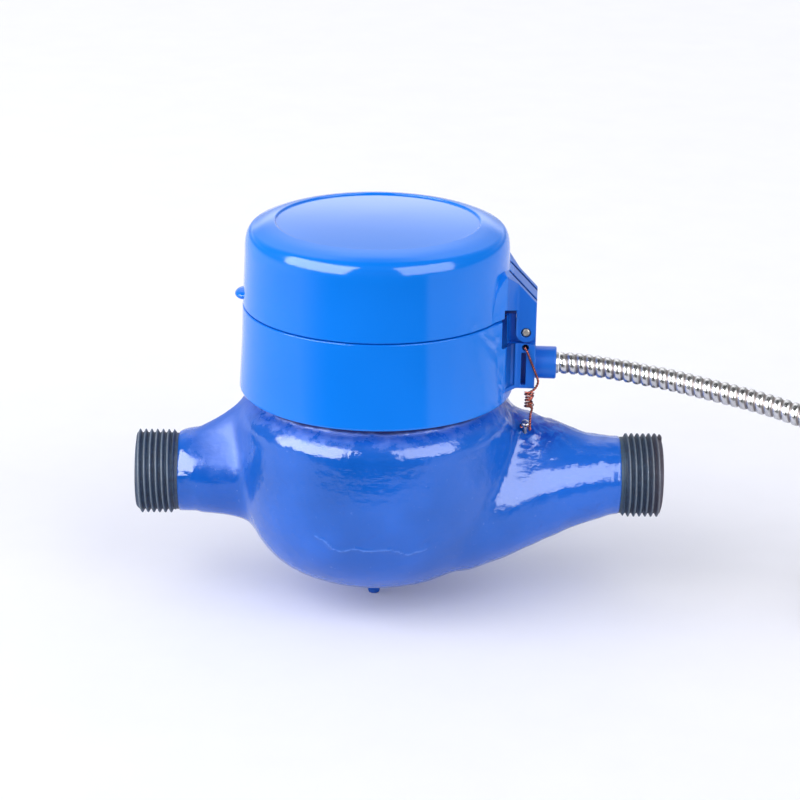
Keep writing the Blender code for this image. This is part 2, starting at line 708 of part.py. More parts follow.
def make_chamber_cover():
    """Closes the chamber, holds the impeller's upper journal and backs the pressure plate."""
    bottom = BASKET_TOP + CLEARANCE
    top = bottom + COVER_THICKNESS
    rib_top = PLATE_BOTTOM - CLEARANCE
    rib_out = BASKET_RADIUS - 0.0020
    rib_in = rib_out - 0.0020
    bearing = PIVOT_RADIUS + CLEARANCE
    boss = bearing * 2.4
    boss_bottom = impeller_levels()[2] + 0.0007
    profile = [(bearing, boss_bottom), (boss, boss_bottom), (boss, bottom), (BASKET_RADIUS, bottom),
               (rib_out, rib_top), (rib_in, rib_top), (rib_in, top), (0, top), (0, BASKET_TOP + 0.0002),
               (bearing, BASKET_TOP + 0.0002)]
    return turned('chamber_cover', profile, black_plastic(), PIECE_STEPS)


def make_gasket():
    outer = HEAD_BORE_RADIUS - CLEARANCE
    inner = outer - GASKET_WIDTH
    top = GASKET_BOTTOM + GASKET_THICKNESS
    return turned('pressure_gasket', [(inner, GASKET_BOTTOM), (outer, GASKET_BOTTOM), (outer, top), (inner, top)],
                  rubber(), PIECE_STEPS)


def make_pressure_plate():
    """The wall between the wet chamber and the dry register."""
    outer = HEAD_BORE_RADIUS - CLEARANCE
    rim = outer - GASKET_WIDTH
    middle = PLATE_BOTTOM + PLATE_THICKNESS * 0.4
    profile = [(0, PLATE_BOTTOM), (outer, PLATE_BOTTOM), (outer, PLATE_TOP), (rim, PLATE_TOP),
               (HEAD_RING_BORE - 0.0008, middle), (CUP_RADIUS * 0.6, middle),
               (CUP_RADIUS * 0.55, PLATE_TOP), (0, PLATE_TOP)]
    return turned('pressure_plate', profile, brass(), PIECE_STEPS)


def make_head_ring():
    """The threaded ring that clamps the plate, the housing's ledge and carries the register."""
    bottom = PLATE_TOP + CLEARANCE
    profile = [(HEAD_RING_BORE, bottom), (HEAD_RING_RADIUS, bottom), (HEAD_RING_RADIUS, HEAD_FLANGE_BOTTOM),
               (HEAD_FLANGE_RADIUS, HEAD_FLANGE_BOTTOM), (HEAD_FLANGE_RADIUS, HEAD_FLANGE_TOP),
               (HEAD_RING_BORE, HEAD_FLANGE_TOP)]
    ring = turned('head_ring', profile, brass(), PIECE_STEPS)
    size = (0.004, 0.005, HEAD_FLANGE_THICKNESS * 3)
    notches = boxes_round('notches', SPANNER_NOTCHES, HEAD_FLANGE_RADIUS, size, HEAD_FLANGE_TOP, math.pi / 4)
    return cut(ring, notches)


def make_register_case():
    """A stepped cup: magnet and movement below, dial, digits and board in the wide tray."""
    tray_top = GLASS_HEIGHT + GLASS_THICKNESS + BEZEL_THICKNESS + 2 * CLEARANCE
    cup_in = CUP_RADIUS - CUP_WALL
    plate_in = MOVEMENT_RADIUS + CLEARANCE
    dial_seat = DIAL_HEIGHT - CLEARANCE
    glass_seat = GLASS_HEIGHT - CLEARANCE
    glass_in = GLASS_RADIUS + CLEARANCE
    dial_in = DIAL_RADIUS + CLEARANCE
    floor = TRAY_BOTTOM + TRAY_FLOOR
    profile = [(0, CUP_BOTTOM), (CUP_RADIUS, CUP_BOTTOM), (CUP_RADIUS, TRAY_BOTTOM), (TRAY_RADIUS, TRAY_BOTTOM),
               (TRAY_RADIUS, tray_top), (glass_in, tray_top), (glass_in, glass_seat), (dial_in, glass_seat),
               (dial_in, dial_seat), (dial_in - 0.0012, dial_seat), (dial_in - 0.0012, floor), (plate_in, floor),
               (plate_in, MOVEMENT_HEIGHT - CLEARANCE), (cup_in, MOVEMENT_HEIGHT - CLEARANCE),
               (cup_in, CUP_BOTTOM + CUP_WALL), (0, CUP_BOTTOM + CUP_WALL)]
    case = turned('register_case', profile, black_plastic(), CASE_STEPS)
    return cut(case, lead_way(TRAY_RADIUS - 0.009, TRAY_RADIUS + 0.007))


def toothed(teeth, turn):
    """A pointed-tooth outline, with one tooth at the bearing turn, in radians."""
    pitch_radius = GEAR_MODULE * teeth / 2
    points = []
    for spot in range(teeth):
        bearing = turn + math.tau * spot / teeth
        for offset, radius in ((0.0, pitch_radius + 0.7 * GEAR_MODULE), (0.5, pitch_radius - 1.1 * GEAR_MODULE)):
            angle = bearing + offset * math.tau / teeth
            points.append((radius * math.cos(angle), radius * math.sin(angle)))
    return points


def gear(name, teeth, centre, turn, bottom, top, coat):
    place = Matrix.Translation((centre[0], centre[1], 0))
    return prism(name, toothed(teeth, turn), 'Z', bottom, top, coat, place)


def gear_centres():
    """The movement's three spindles in plan: drive, reduction and pointer."""
    distance = GEAR_MODULE * (PINION_TEETH + WHEEL_TEETH) / 2
    first = math.radians(FIRST_GEAR_BEARING)
    second = math.radians(SECOND_GEAR_BEARING)
    reduction = (distance * math.cos(first), distance * math.sin(first))
    pointer = (reduction[0] + distance * math.cos(second), reduction[1] + distance * math.sin(second))
    return (0.0, 0.0), reduction, pointer


def gear_levels():
    """Bottoms of the two gear layers above the movement plate."""
    first = MOVEMENT_HEIGHT + MOVEMENT_THICKNESS + 2 * CLEARANCE
    return first, first + GEAR_THICKNESS + 0.0007


def make_drive_spindle():
    """The follower's spindle, from the case's floor up to the flow star over the dial."""
    floor = CUP_BOTTOM + CUP_WALL + CLEARANCE
    hub = MAGNET_RADIUS * 0.24
    magnet_top = floor + 0.0004 + MAGNET_HEIGHT * 0.6
    collar = magnet_top + CLEARANCE
    top = DIAL_HEIGHT + DIAL_THICKNESS + 0.0014
    profile = [(0, floor), (hub, floor + 0.0004), (hub, collar),
               (hub * 1.5, collar), (hub * 1.5, collar + 0.0006),
               (SPINDLE_RADIUS, collar + 0.0006), (SPINDLE_RADIUS, top), (0, top)]
    spindle = turned('drive_spindle', profile, steel(), SMALL_STEPS)
    bottom = gear_levels()[0]
    turn = math.radians(FIRST_GEAR_BEARING)
    pinion = gear('pinion', PINION_TEETH, (0, 0), turn, bottom - 0.0002, bottom + GEAR_THICKNESS + 0.0002, None)
    return add(spindle, pinion)


def make_follower_magnet():
    floor = CUP_BOTTOM + CUP_WALL + CLEARANCE + 0.0004
    bore = MAGNET_RADIUS * 0.24 + CLEARANCE
    top = floor + MAGNET_HEIGHT * 0.6
    profile = [(bore, floor), (MAGNET_RADIUS, floor), (MAGNET_RADIUS, top), (bore, top)]
    return turned('follower_magnet', profile, magnet_ferrite(), 16)


def make_flow_star():
    """The small star that shows even a dripping flow."""
    bottom = DIAL_HEIGHT + DIAL_THICKNESS + 0.0004
    outline = []
    for spot in range(12):
        radius = 0.0030 if spot % 2 == 0 else 0.0015
        turn = math.tau * spot / 12
        outline.append((radius * math.cos(turn), radius * math.sin(turn)))
    star = prism('flow_star', outline, 'Z', bottom, bottom + 0.0006, red_plastic())
    bore = SPINDLE_RADIUS + CLEARANCE
    return cut(star, rod('bore', (0, 0, bottom - OVERCUT), (0, 0, bottom + OVERCUT), bore, None, 10))


def make_reduction_gear():
    """Wheel and pinion in one, on a stub in the movement plate."""
    centre = gear_centres()[1]
    first, second = gear_levels()
    towards_drive = math.radians(FIRST_GEAR_BEARING + 180)
    gap_turn = towards_drive + math.pi / WHEEL_TEETH
    wheel = gear('reduction_gear', WHEEL_TEETH, centre, gap_turn, first, first + GEAR_THICKNESS, white_plastic())
    pinion_turn = math.radians(SECOND_GEAR_BEARING)
    pinion = gear('pinion', PINION_TEETH, centre, pinion_turn, first + GEAR_THICKNESS / 2,
                  second + GEAR_THICKNESS + 0.0002, None)
    foot = MOVEMENT_HEIGHT + 0.0002
    stub = rod('stub', (*centre, foot), (*centre, second + GEAR_THICKNESS + 0.0008), SPINDLE_RADIUS)
    return add(wheel, pinion, stub)


def make_pointer_gear():
    """The pointer's wheel and spindle: one turn for each litre."""
    centre = gear_centres()[2]
    second = gear_levels()[1]
    towards = math.radians(SECOND_GEAR_BEARING + 180)
    wheel = gear('pointer_gear', WHEEL_TEETH, centre, towards + math.pi / WHEEL_TEETH, second,
                 second + GEAR_THICKNESS, white_plastic())
    foot = MOVEMENT_HEIGHT + 0.0002
    top = DIAL_HEIGHT + DIAL_THICKNESS + 0.0014
    return add(wheel, rod('spindle', (*centre, foot), (*centre, top), SPINDLE_RADIUS))


def make_pointer():
    """A red hand on the pointer gear's spindle."""
    centre = gear_centres()[2]
    bottom = DIAL_HEIGHT + DIAL_THICKNESS + 0.0004
    outline = [(-0.0024, -0.0007), (0.0, -0.0013), (0.0050, -0.0002),
               (0.0050, 0.0002), (0.0, 0.0013), (-0.0024, 0.0007)]
    place = Matrix.Translation((*centre, 0)) @ Matrix.Rotation(math.radians(90), 4, 'Z')
    hand = prism('litre_pointer', outline, 'Z', bottom, bottom + 0.0006, red_plastic(), place)
    bore = SPINDLE_RADIUS + CLEARANCE
    return cut(hand, rod('bore', (*centre, bottom - OVERCUT), (*centre, bottom + OVERCUT), bore, None, 10))


def digit_axis():
    """Height of the number wheels' shaft, their rims just under the dial."""
    return DIAL_HEIGHT - CLEARANCE - DIGIT_RADIUS


def digit_span():
    """Half the length of the row of number wheels."""
    return (DIGIT_COUNT * DIGIT_WIDTH + (DIGIT_COUNT - 1) * CLEARANCE) / 2


def make_movement_plate():
    """The plate that carries the gears, with two cheeks for the number wheels' shaft."""
    top = MOVEMENT_HEIGHT + MOVEMENT_THICKNESS
    profile = [(0, MOVEMENT_HEIGHT), (MOVEMENT_RADIUS, MOVEMENT_HEIGHT), (MOVEMENT_RADIUS, top), (0, top)]
    plate = turned('movement_plate', profile, white_plastic(), PIECE_STEPS)
    inner = digit_span() + CLEARANCE
    cheek_top = digit_axis() + 0.0016
    for side in (-1, 1):
        near, far = sorted((side * inner, side * (inner + CHEEK_THICKNESS)))
        add(plate, block('cheek', (near, DIGIT_AXIS_Y - 0.0018, MOVEMENT_HEIGHT + 0.0002),
                         (far, DIGIT_AXIS_Y + 0.0018, cheek_top)))
    reach = inner + CHEEK_THICKNESS + OVERCUT
    shaft_hole = DIGIT_SHAFT_RADIUS + CLEARANCE
    level = digit_axis()
    cut(plate, rod('shaft_hole', (-reach, DIGIT_AXIS_Y, level), (reach, DIGIT_AXIS_Y, level), shaft_hole))
    for centre in gear_centres():
        hole = SPINDLE_RADIUS + CLEARANCE
        cut(plate, rod('hole', (*centre, MOVEMENT_HEIGHT - OVERCUT), (*centre, top + OVERCUT), hole, None, 10))
    return plate


def make_digits():
    """The row of number wheels and the shaft that they turn on."""
    height = digit_axis()
    bore = DIGIT_SHAFT_RADIUS + CLEARANCE
    half = DIGIT_WIDTH / 2
    profile = [(bore, -half), (DIGIT_RADIUS, -half), (DIGIT_RADIUS, half), (bore, half)]
    made = []
    for spot in range(DIGIT_COUNT):
        x = -digit_span() + half + spot * (DIGIT_WIDTH + CLEARANCE)
        place = Matrix.Translation((x, DIGIT_AXIS_Y, height)) @ Matrix.Rotation(math.pi / 2, 4, 'Y')
        made.append(turned('number_wheel_%d' % (spot + 1), profile, white_plastic(), 12, place))
    reach = digit_span() + CLEARANCE + CHEEK_THICKNESS
    made.append(rod('number_shaft', (-reach, DIGIT_AXIS_Y, height), (reach, DIGIT_AXIS_Y, height),
                    DIGIT_SHAFT_RADIUS, steel(), 10))
    return made


def make_board():
    """The reading board stands behind the number wheels, with its parts towards them."""
    front = DIGIT_AXIS_Y + DIGIT_RADIUS + 0.0016
    foot = MOVEMENT_HEIGHT + MOVEMENT_THICKNESS + CLEARANCE
    top = DIAL_HEIGHT - 0.0012
    half = digit_span() + CHEEK_THICKNESS
    coat = finish('board_green', (24, 84, 52), 0.5)
    board = block('reading_board', (-half, front, foot), (half, front + 0.0012, top), coat)
    for spot in range(DIGIT_COUNT):
        x = -digit_span() + DIGIT_WIDTH / 2 + spot * (DIGIT_WIDTH + CLEARANCE)
        add(board, block('sensor', (x - 0.0012, front - 0.0010, digit_axis() - 0.0012),
                         (x + 0.0012, front + 0.0004, digit_axis() + 0.0012)))
    return board


def make_dial():
    """The dial plate, with the window over the number wheels."""
    top = DIAL_HEIGHT + DIAL_THICKNESS
    profile = [(0, DIAL_HEIGHT), (DIAL_RADIUS, DIAL_HEIGHT), (DIAL_RADIUS, top), (0, top)]
    dial = turned('dial_plate', profile, white_plastic(), CASE_STEPS)
    half = digit_span() + 0.0001
    cut(dial, block('window', (-half, DIGIT_AXIS_Y - WINDOW_DEPTH / 2, DIAL_HEIGHT - OVERCUT),
                    (half, DIGIT_AXIS_Y + WINDOW_DEPTH / 2, top + OVERCUT)))
    for centre in (gear_centres()[0], gear_centres()[2]):
        hole = SPINDLE_RADIUS + CLEARANCE
        cut(dial, rod('hole', (*centre, DIAL_HEIGHT - OVERCUT), (*centre, top + OVERCUT), hole, None, 10))
    return dial


def make_glass():
    top = GLASS_HEIGHT + GLASS_THICKNESS
    profile = [(0, GLASS_HEIGHT), (GLASS_RADIUS, GLASS_HEIGHT), (GLASS_RADIUS, top), (0, top)]
    return turned('register_glass', profile, finish('glass', (235, 240, 242), 0.05), CASE_STEPS)


def make_bezel():
    bottom = GLASS_HEIGHT + GLASS_THICKNESS + CLEARANCE
    top = bottom + BEZEL_THICKNESS
    profile = [(BEZEL_BORE, bottom), (GLASS_RADIUS, bottom), (GLASS_RADIUS, top), (BEZEL_BORE + 0.0008, top)]
    return turned('register_bezel', profile, black_plastic(), CASE_STEPS)


def bracket_plan():
    """The hinge bracket from above: square outside, with a gusset to the round wall on each side."""
    turn = math.radians(GUSSET_TANGENT)
    side = [(BRACKET_FACE, BRACKET_HALF_WIDTH), (GUSSET_FACE_X, BRACKET_HALF_WIDTH),
            (SEAM_RADIUS * math.cos(turn), SEAM_RADIUS * math.sin(turn)), (GUSSET_ROOT_X, GUSSET_ROOT_Y)]
    return side + [(x, -y) for x, y in reversed(side)]


def lug_arc(start, end, radius=LUG_RADIUS, steps=8):
    return arc((PIN_X, PIN_HEIGHT), radius, start, end, steps)


def pin_bore(radius):
    reach = BRACKET_HALF_WIDTH + 0.006
    ends = ((PIN_X, -reach, PIN_HEIGHT), (PIN_X, reach, PIN_HEIGHT))
    return rod('pin_bore', ends[0], ends[1], radius, None, 16, BRACKET_TURN)


def make_housing():
    """The housing's skirt with the hinge bracket, the seal hole and the conduit gland."""
    edge = 0.0006
    lip_top = SEAM_HEIGHT + LIP_HEIGHT
    outside = turned('housing_ring', [(0, SKIRT_BOTTOM), (SKIRT_RADIUS - edge, SKIRT_BOTTOM),
                                      (SKIRT_RADIUS, SKIRT_BOTTOM + edge), (SEAM_RADIUS, SEAM_HEIGHT),
                                      (SEAM_RADIUS, lip_top), (0, lip_top)], housing_plastic(), SHELL_STEPS)
    gusset_top = SEAM_HEIGHT + LIP_HEIGHT / 2
    gussets = prism('gussets', bracket_plan(), 'Z', BRACKET_BOTTOM, gusset_top, None, BRACKET_TURN)
    far = BRACKET_FACE + OVERCUT
    wide = GUSSET_ROOT_Y + OVERCUT
    fall = BRACKET_EDGE_DROP * (far - PIN_X) / LUG_RADIUS
    over = [(RECESS_X, BRACKET_TOP), (PIN_X, BRACKET_TOP), (far, BRACKET_TOP - fall),
            (far, lip_top), (RECESS_X, lip_top)]
    cut(gussets, prism('recess', over, 'Y', -wide, wide, None, BRACKET_TURN))
    foot = BRACKET_TOP - 2 * BRACKET_EDGE_DROP
    web = PIN_X - KNUCKLE_RADIUS - CLEARANCE
    knuckle = [(PIN_X + KNUCKLE_RADIUS, foot)] + lug_arc(0, 180, KNUCKLE_RADIUS)
    knuckle += [(web, PIN_HEIGHT), (web, gusset_top),
                (RECESS_X - OVERCUT, gusset_top), (RECESS_X - OVERCUT, foot)]
    add(gussets, prism('knuckle', knuckle, 'Y', -KNUCKLE_HALF_WIDTH, KNUCKLE_HALF_WIDTH, None, BRACKET_TURN))
    add(outside, gussets)
    lid_space = [(LIP_RADIUS, SEAM_HEIGHT), (far + OVERCUT, SEAM_HEIGHT), (far + OVERCUT, lip_top + OVERCUT),
                 (LIP_RADIUS, lip_top + OVERCUT)]
    cut(outside, turned('lid_space', lid_space, None, SHELL_STEPS))
    along = Matrix.Rotation(math.pi / 2, 4, 'Y')
    gland_place = BRACKET_TURN @ Matrix.Translation((0, 0, GLAND_HEIGHT)) @ along
    start = BRACKET_FACE - BOX_WALL / 2
    rim = 0.0004
    gland = turned('gland', [(0, start), (GLAND_RADIUS, start), (GLAND_RADIUS, GLAND_END - rim),
                             (GLAND_RADIUS - rim, GLAND_END), (0, GLAND_END)], None, 20, gland_place)
    add(outside, gland)
    inner = SEAM_RADIUS - HOUSING_WALL
    collar = BOSS_RADIUS + CLEARANCE
    mouth = SKIRT_BOTTOM - OVERCUT
    cavity = turned('cavity', [(0, mouth), (collar, mouth), (collar, LEDGE_BOTTOM),
                               (LEDGE_BORE, LEDGE_BOTTOM), (LEDGE_BORE, LEDGE_TOP), (inner, LEDGE_TOP),
                               (inner, SEAM_HEIGHT - 0.0032), (LIP_BORE, SEAM_HEIGHT - 0.0014),
                               (LIP_BORE, lip_top + OVERCUT), (0, lip_top + OVERCUT)], None, SHELL_STEPS)
    cut(outside, cavity)
    box_side = BRACKET_HALF_WIDTH - BOX_WALL
    box_start = SKIRT_RADIUS - 0.0004
    cut(outside, block('lead_box', (box_start, -box_side, BRACKET_BOTTOM + BOX_WALL * 0.7),
                       (BRACKET_FACE - BOX_WALL, box_side, BOX_CEILING), None, BRACKET_TURN))
    within = BRACKET_FACE - BOX_WALL * 1.5
    bore = [(0, within), (GLAND_BORE, within), (GLAND_BORE, GLAND_END + OVERCUT), (0, GLAND_END + OVERCUT)]
    gland_bore = turned('gland_bore', bore, None, 16, gland_place)
    slot = block('slot', (SLOT_X - SLOT_WIDTH / 2, -BRACKET_HALF_WIDTH - OVERCUT, SLOT_BOTTOM),
                 (SLOT_X + SLOT_WIDTH / 2, -box_side + 0.001, SLOT_TOP), None, BRACKET_TURN)
    reach = BRACKET_HALF_WIDTH + OVERCUT
    seal_hole = rod('seal_hole', (PIN_X, -reach, SEAL_HOLE_HEIGHT), (PIN_X, reach, SEAL_HOLE_HEIGHT),
                    SEAL_HOLE_RADIUS, None, 12, BRACKET_TURN)
    way = lead_way(SEAM_RADIUS - HOUSING_WALL - 0.005, SKIRT_RADIUS + 0.004)
    return cut(outside, gland_bore, slot, seal_hole, pin_bore(PIN_RADIUS + CLEARANCE), way)


def hood_shoulders():
    """The hood's outline seen from outside: gusset tops round over on both sides."""
    side = []
    steps = 6
    for step in range(steps + 1):
        turn = math.pi / 2 * step / steps
        across = math.cos(turn) if step < steps else 0.0
        y = BRACKET_HALF_WIDTH + HOOD_SHOULDER_WIDTH * across ** (2 / HOOD_SHOULDER_FULLNESS)
        z = HOOD_BOTTOM + HOOD_SHOULDER_HEIGHT * math.sin(turn) ** (2 / HOOD_SHOULDER_FULLNESS)
        side.append((y, z))
    low = PIN_HEIGHT - LUG_RADIUS - OVERCUT
    high = LID_RIM_TOP
    right = [(side[0][0], low)] + side + [(BRACKET_HALF_WIDTH, high)]
    return right + [(-y, z) for y, z in reversed(right)]


def lid_corner(wall, steps):
    """The lid's rounded corner, and the gentle rise from there to the disc."""
    points = []
    centre = LID_RADIUS - LID_CORNER_RUN
    rise = LID_CORNER_TOP - LID_CORNER_START
    for step in range(steps + 1):
        turn = math.radians(72) * step / steps
        share = 2 / LID_CORNER_FULLNESS
        points.append((centre + (LID_CORNER_RUN - wall) * math.cos(turn) ** share,
                       LID_CORNER_START + (rise - wall) * math.sin(turn) ** share))
    middle = (centre + DISC_RADIUS) / 2 + LID_WALL * 0.4
    points.append((middle, (LID_CORNER_TOP + LID_RIM_TOP) / 2 + LID_WALL * 0.15 - wall))
    return points


def make_lid():
    """The lid: a turned shell with a recessed top disc, the hinge hood and a thumb tab."""
    start = SEAM_HEIGHT + CLEARANCE
    disc = LID_RIM_TOP - DISC_RECESS
    outline = [(0, start), (SEAM_RADIUS - 0.0001, start)] + lid_corner(0.0, 5)
    outline += [(DISC_RADIUS, LID_RIM_TOP), (DISC_RADIUS, disc), (0, disc + DISC_CROWN)]
    lid = turned('lid', outline, housing_plastic(), SHELL_STEPS)

    depth = BRACKET_FACE - GUSSET_ROOT_X
    slope_top = HOOD_FACE_TOP + depth * HOOD_SLOPE
    side = [(GUSSET_ROOT_X, HOOD_BOTTOM), (PIN_X - LUG_RADIUS, HOOD_BOTTOM)] + lug_arc(180, 360)
    side += [(BRACKET_FACE, HOOD_FACE_TOP), (GUSSET_ROOT_X, slope_top)]
    wide = GUSSET_ROOT_Y + OVERCUT
    hood = prism('hood', side, 'Y', -wide, wide, None, BRACKET_TURN)
    plan = prism('plan', bracket_plan(), 'Z', PIN_HEIGHT - LUG_RADIUS - OVERCUT, LID_RIM_TOP, None, BRACKET_TURN)
    front = prism('front', hood_shoulders(), 'X', GUSSET_ROOT_X - OVERCUT, BRACKET_FACE + OVERCUT, None, BRACKET_TURN)
    keep_common(hood, plan, front)
    gap = KNUCKLE_HALF_WIDTH + CLEARANCE
    cut(hood, block('knuckle_gap', (PIN_X - LUG_RADIUS - OVERCUT, -gap, PIN_HEIGHT - LUG_RADIUS - OVERCUT),
                    (BRACKET_FACE + OVERCUT, gap, HOOD_BOTTOM), None, BRACKET_TURN))
    add(lid, hood)

    wall_in = SEAM_RADIUS - 0.0001 - LID_WALL - 0.0002
    cavity = [(0, start - OVERCUT), (wall_in, start - OVERCUT)]
    cavity += lid_corner(LID_WALL, 3) + [(0, LID_RIM_TOP - LID_WALL)]
    cut(lid, turned('cavity', cavity, None, SHELL_STEPS))

    rise = math.hypot(1, HOOD_SLOPE)
    groove_end = BRACKET_FACE + OVERCUT
    groove_start = LID_RADIUS
    for side_y in (-GROOVE_Y, GROOVE_Y):
        strip = []
        for x, lift in ((groove_start, -GROOVE_DEPTH), (groove_end, -GROOVE_DEPTH),
                        (groove_end, 0.002), (groove_start, 0.002)):
            strip.append((x, HOOD_FACE_TOP + (BRACKET_FACE - x) * HOOD_SLOPE + lift * rise))
        near, far = side_y - GROOVE_WIDTH / 2, side_y + GROOVE_WIDTH / 2
        cut(lid, prism('groove', strip, 'Y', near, far, None, BRACKET_TURN))
    pocket_in = SEAM_RADIUS + 0.0009
    pocket_out = BRACKET_FACE - BOX_WALL
    pocket = [(pocket_in, HOOD_BOTTOM - OVERCUT), (pocket_out, HOOD_BOTTOM - OVERCUT),
              (pocket_out, HOOD_FACE_TOP + 0.0002),
              (pocket_in, HOOD_FACE_TOP + (pocket_out - pocket_in) * HOOD_SLOPE)]
    half = GROOVE_Y - GROOVE_WIDTH
    cut(lid, prism('pocket', pocket, 'Y', -half, half, None, BRACKET_TURN), pin_bore(PIN_RADIUS + CLEARANCE))

    tab_z = start + TAB_HEIGHT / 2
    tab_place = (BRACKET_TURN @ Matrix.Translation((-SEAM_RADIUS + 0.0004, 0, tab_z))
                 @ Matrix.Diagonal((TAB_REACH + 0.0004, TAB_LENGTH / 2, TAB_HEIGHT / 2, 1)))
    bm = bmesh.new()
    bmesh.ops.create_uvsphere(bm, u_segments=12, v_segments=6, radius=1.0)
    tab = to_object('thumb_tab', bm, None, tab_place)
    inside = SEAM_RADIUS - LID_WALL * 0.8
    inward = turned('inward', [(0, 0), (inside, 0), (inside, LID_RIM_TOP), (0, LID_RIM_TOP)],
                    None, SHELL_STEPS)
    cut(tab, inward)
    return add(lid, tab)


def make_hinge_pin():
    reach = BRACKET_HALF_WIDTH
    ends = ((PIN_X, -reach, PIN_HEIGHT), (PIN_X, reach, PIN_HEIGHT))
    return rod('hinge_pin', ends[0], ends[1], PIN_RADIUS, steel(), 14, BRACKET_TURN)


def make_entry_ferrule():
    """The plated neck in the gland that the conduit starts from."""
    outer = GLAND_BORE - CLEARANCE
    start = BRACKET_FACE + CLEARANCE
    end = GLAND_END + ENTRY_REACH
    place = BRACKET_TURN @ Matrix.Translation((0, 0, GLAND_HEIGHT)) @ Matrix.Rotation(math.pi / 2, 4, 'Y')
    return turned('entry_ferrule', [(ENTRY_BORE, start), (outer, start), (outer, GLAND_END), (outer - 0.0006, end),
                                    (ENTRY_BORE, end)], steel(), 14, place)


def bracket_point(x, y, z):
    return BRACKET_TURN @ Vector((x, y, z))


def lead_route():
    """The signal lead: from the board, out of the case, through the bracket's box to the gland."""
    board_end = digit_span() + CHEEK_THICKNESS
    board_y = DIGIT_AXIS_Y + DIGIT_RADIUS + 0.0022
    tray_exit = TRAY_RADIUS - 0.0046
    start = Vector((board_end + CLEARANCE, board_y, DIAL_HEIGHT - 0.0048))
    return [start, Vector((0.0200, 0.0140, DIAL_HEIGHT - 0.0042)), Vector((0.0270, 0.0070, DIAL_HEIGHT - 0.0034)),
            bracket_point(tray_exit, 0.0006, DIAL_HEIGHT - 0.0026),
            bracket_point(TRAY_RADIUS + 0.0004, 0, BOX_CEILING + 0.0012),
            bracket_point(SEAM_RADIUS + 0.0005, 0, BOX_CEILING - 0.0016),
            bracket_point(BRACKET_FACE - 0.0050, 0, (BOX_CEILING + GLAND_HEIGHT) / 2 - 0.0012),
            bracket_point(BRACKET_FACE - 0.0022, 0, GLAND_HEIGHT + 0.0002),
            bracket_point(BRACKET_FACE + 0.0015, 0, GLAND_HEIGHT),
            bracket_point(GLAND_END + ENTRY_REACH, 0, GLAND_HEIGHT)]


def lead_points():
    return smooth_route(lead_route(), 0.0048)


def lead_way(inner, outer):
    """A cutter round the lead where it lies between two distances from the register's axis."""
    passed = [point for point in lead_points() if inner < math.hypot(point.x, point.y) < outer]
    return swept('lead_way', passed, ENTRY_BORE, None, 10)


def make_signal_lead():
    return cable('signal_lead', lead_points(), LEAD_RADIUS,
                 finish('lead_sheath', (46, 48, 52), 0.5), 2)


def conduit_route():
    """The free run of the conduit from the gland, as chosen by hand, up to the ramp."""
    start = bracket_point(GLAND_END + ENTRY_REACH + CLEARANCE, 0, GLAND_HEIGHT)
    return [start, (0.0630, -0.0047, 0.0384), (0.0700, -0.0057, 0.0378), (0.0770, -0.0071, 0.0371),
            (0.0843, -0.0088, 0.0362), (0.0918, -0.0110, 0.0354), (0.0991, -0.0138, 0.0345),
            (0.1065, -0.0170, 0.0337), (0.1137, -0.0204, 0.0329), (0.1209, -0.0243, 0.0320),
            (0.1290, -0.0290, 0.0306), (0.1375, -0.0341, 0.0284), (0.1460, -0.0392, 0.0254),
            (0.1540, -0.0440, 0.0219), (0.1620, -0.0485, 0.0180)]


def coil_point(bearing, radius, height):
    turn = math.radians(bearing)
    return Vector((COIL_CENTRE[0] + radius * math.cos(turn), COIL_CENTRE[1] + radius * math.sin(turn), height))


def ramp_route():
    """The conduit comes down round the coil's first turn and lands on it."""
    top = 0.0142
    landing = NUB_TIP + 3 * CONDUIT_RADIUS + 0.0008
    steps = 14
    points = []
    for step in range(steps + 1):
        share = step / steps
        ease = share * share * (3 - 2 * share) * 0.35 + share * 0.65
        points.append(coil_point(COIL_START_BEARING + 360 * RAMP_TURNS * share, COIL_FIRST_RADIUS,
                                 top + (landing - top) * ease))
    return points


def make_conduit():
    """The uncoiled run as a plain tube."""
    route = smooth_route(conduit_route() + ramp_route(), 0.0130)
    return cable('conduit', route, CONDUIT_RADIUS, steel(), 2)


def make_conduit_coil():
    """The outer shape of the turns that lie on the ground."""
    bottom = NUB_TIP
    top = bottom + 2 * CONDUIT_RADIUS
    inner = COIL_FIRST_RADIUS - CONDUIT_RADIUS + 0.0012
    outer = COIL_FIRST_RADIUS + COIL_PITCH * (COIL_TURNS - 0.5) + CONDUIT_RADIUS - 0.0010
    middle = (bottom + top) / 2
    edge = CONDUIT_RADIUS * 0.6
    profile = [(inner + edge, bottom), (outer - edge, bottom), (outer, middle), (outer - edge, top),
               (inner + edge, top), (inner, middle)]
    return turned('conduit_coil', profile, steel(), PIECE_STEPS, Matrix.Translation((*COIL_CENTRE, 0)))


def conduit_end():
    """Where the last turn of the coil leaves it, and which way it points."""
    bearing = COIL_START_BEARING + 360 * (RAMP_TURNS + COIL_TURNS)
    radius = COIL_FIRST_RADIUS + COIL_PITCH * COIL_TURNS
    turn = math.radians(bearing)
    return coil_point(bearing, radius, NUB_TIP + CONDUIT_RADIUS), Vector((-math.sin(turn), math.cos(turn), 0))


def make_end_sleeve():
    """The crimped sleeve at the conduit's free end."""
    spot, heading = conduit_end()
    seat = spot + heading * END_RUN
    seat.z = NUB_TIP + END_SLEEVE_RADIUS
    place = Matrix.Translation(seat) @ heading.to_track_quat('Z', 'Y').to_matrix().to_4x4()
    bore = TAIL_RADIUS + CLEARANCE
    lip = END_SLEEVE_RADIUS * 0.8
    profile = [(bore, 0), (END_SLEEVE_RADIUS, 0), (END_SLEEVE_RADIUS, END_SLEEVE_LENGTH * 0.85),
               (lip, END_SLEEVE_LENGTH), (bore, END_SLEEVE_LENGTH)]
    return turned('end_sleeve', profile, steel(), 12, place)


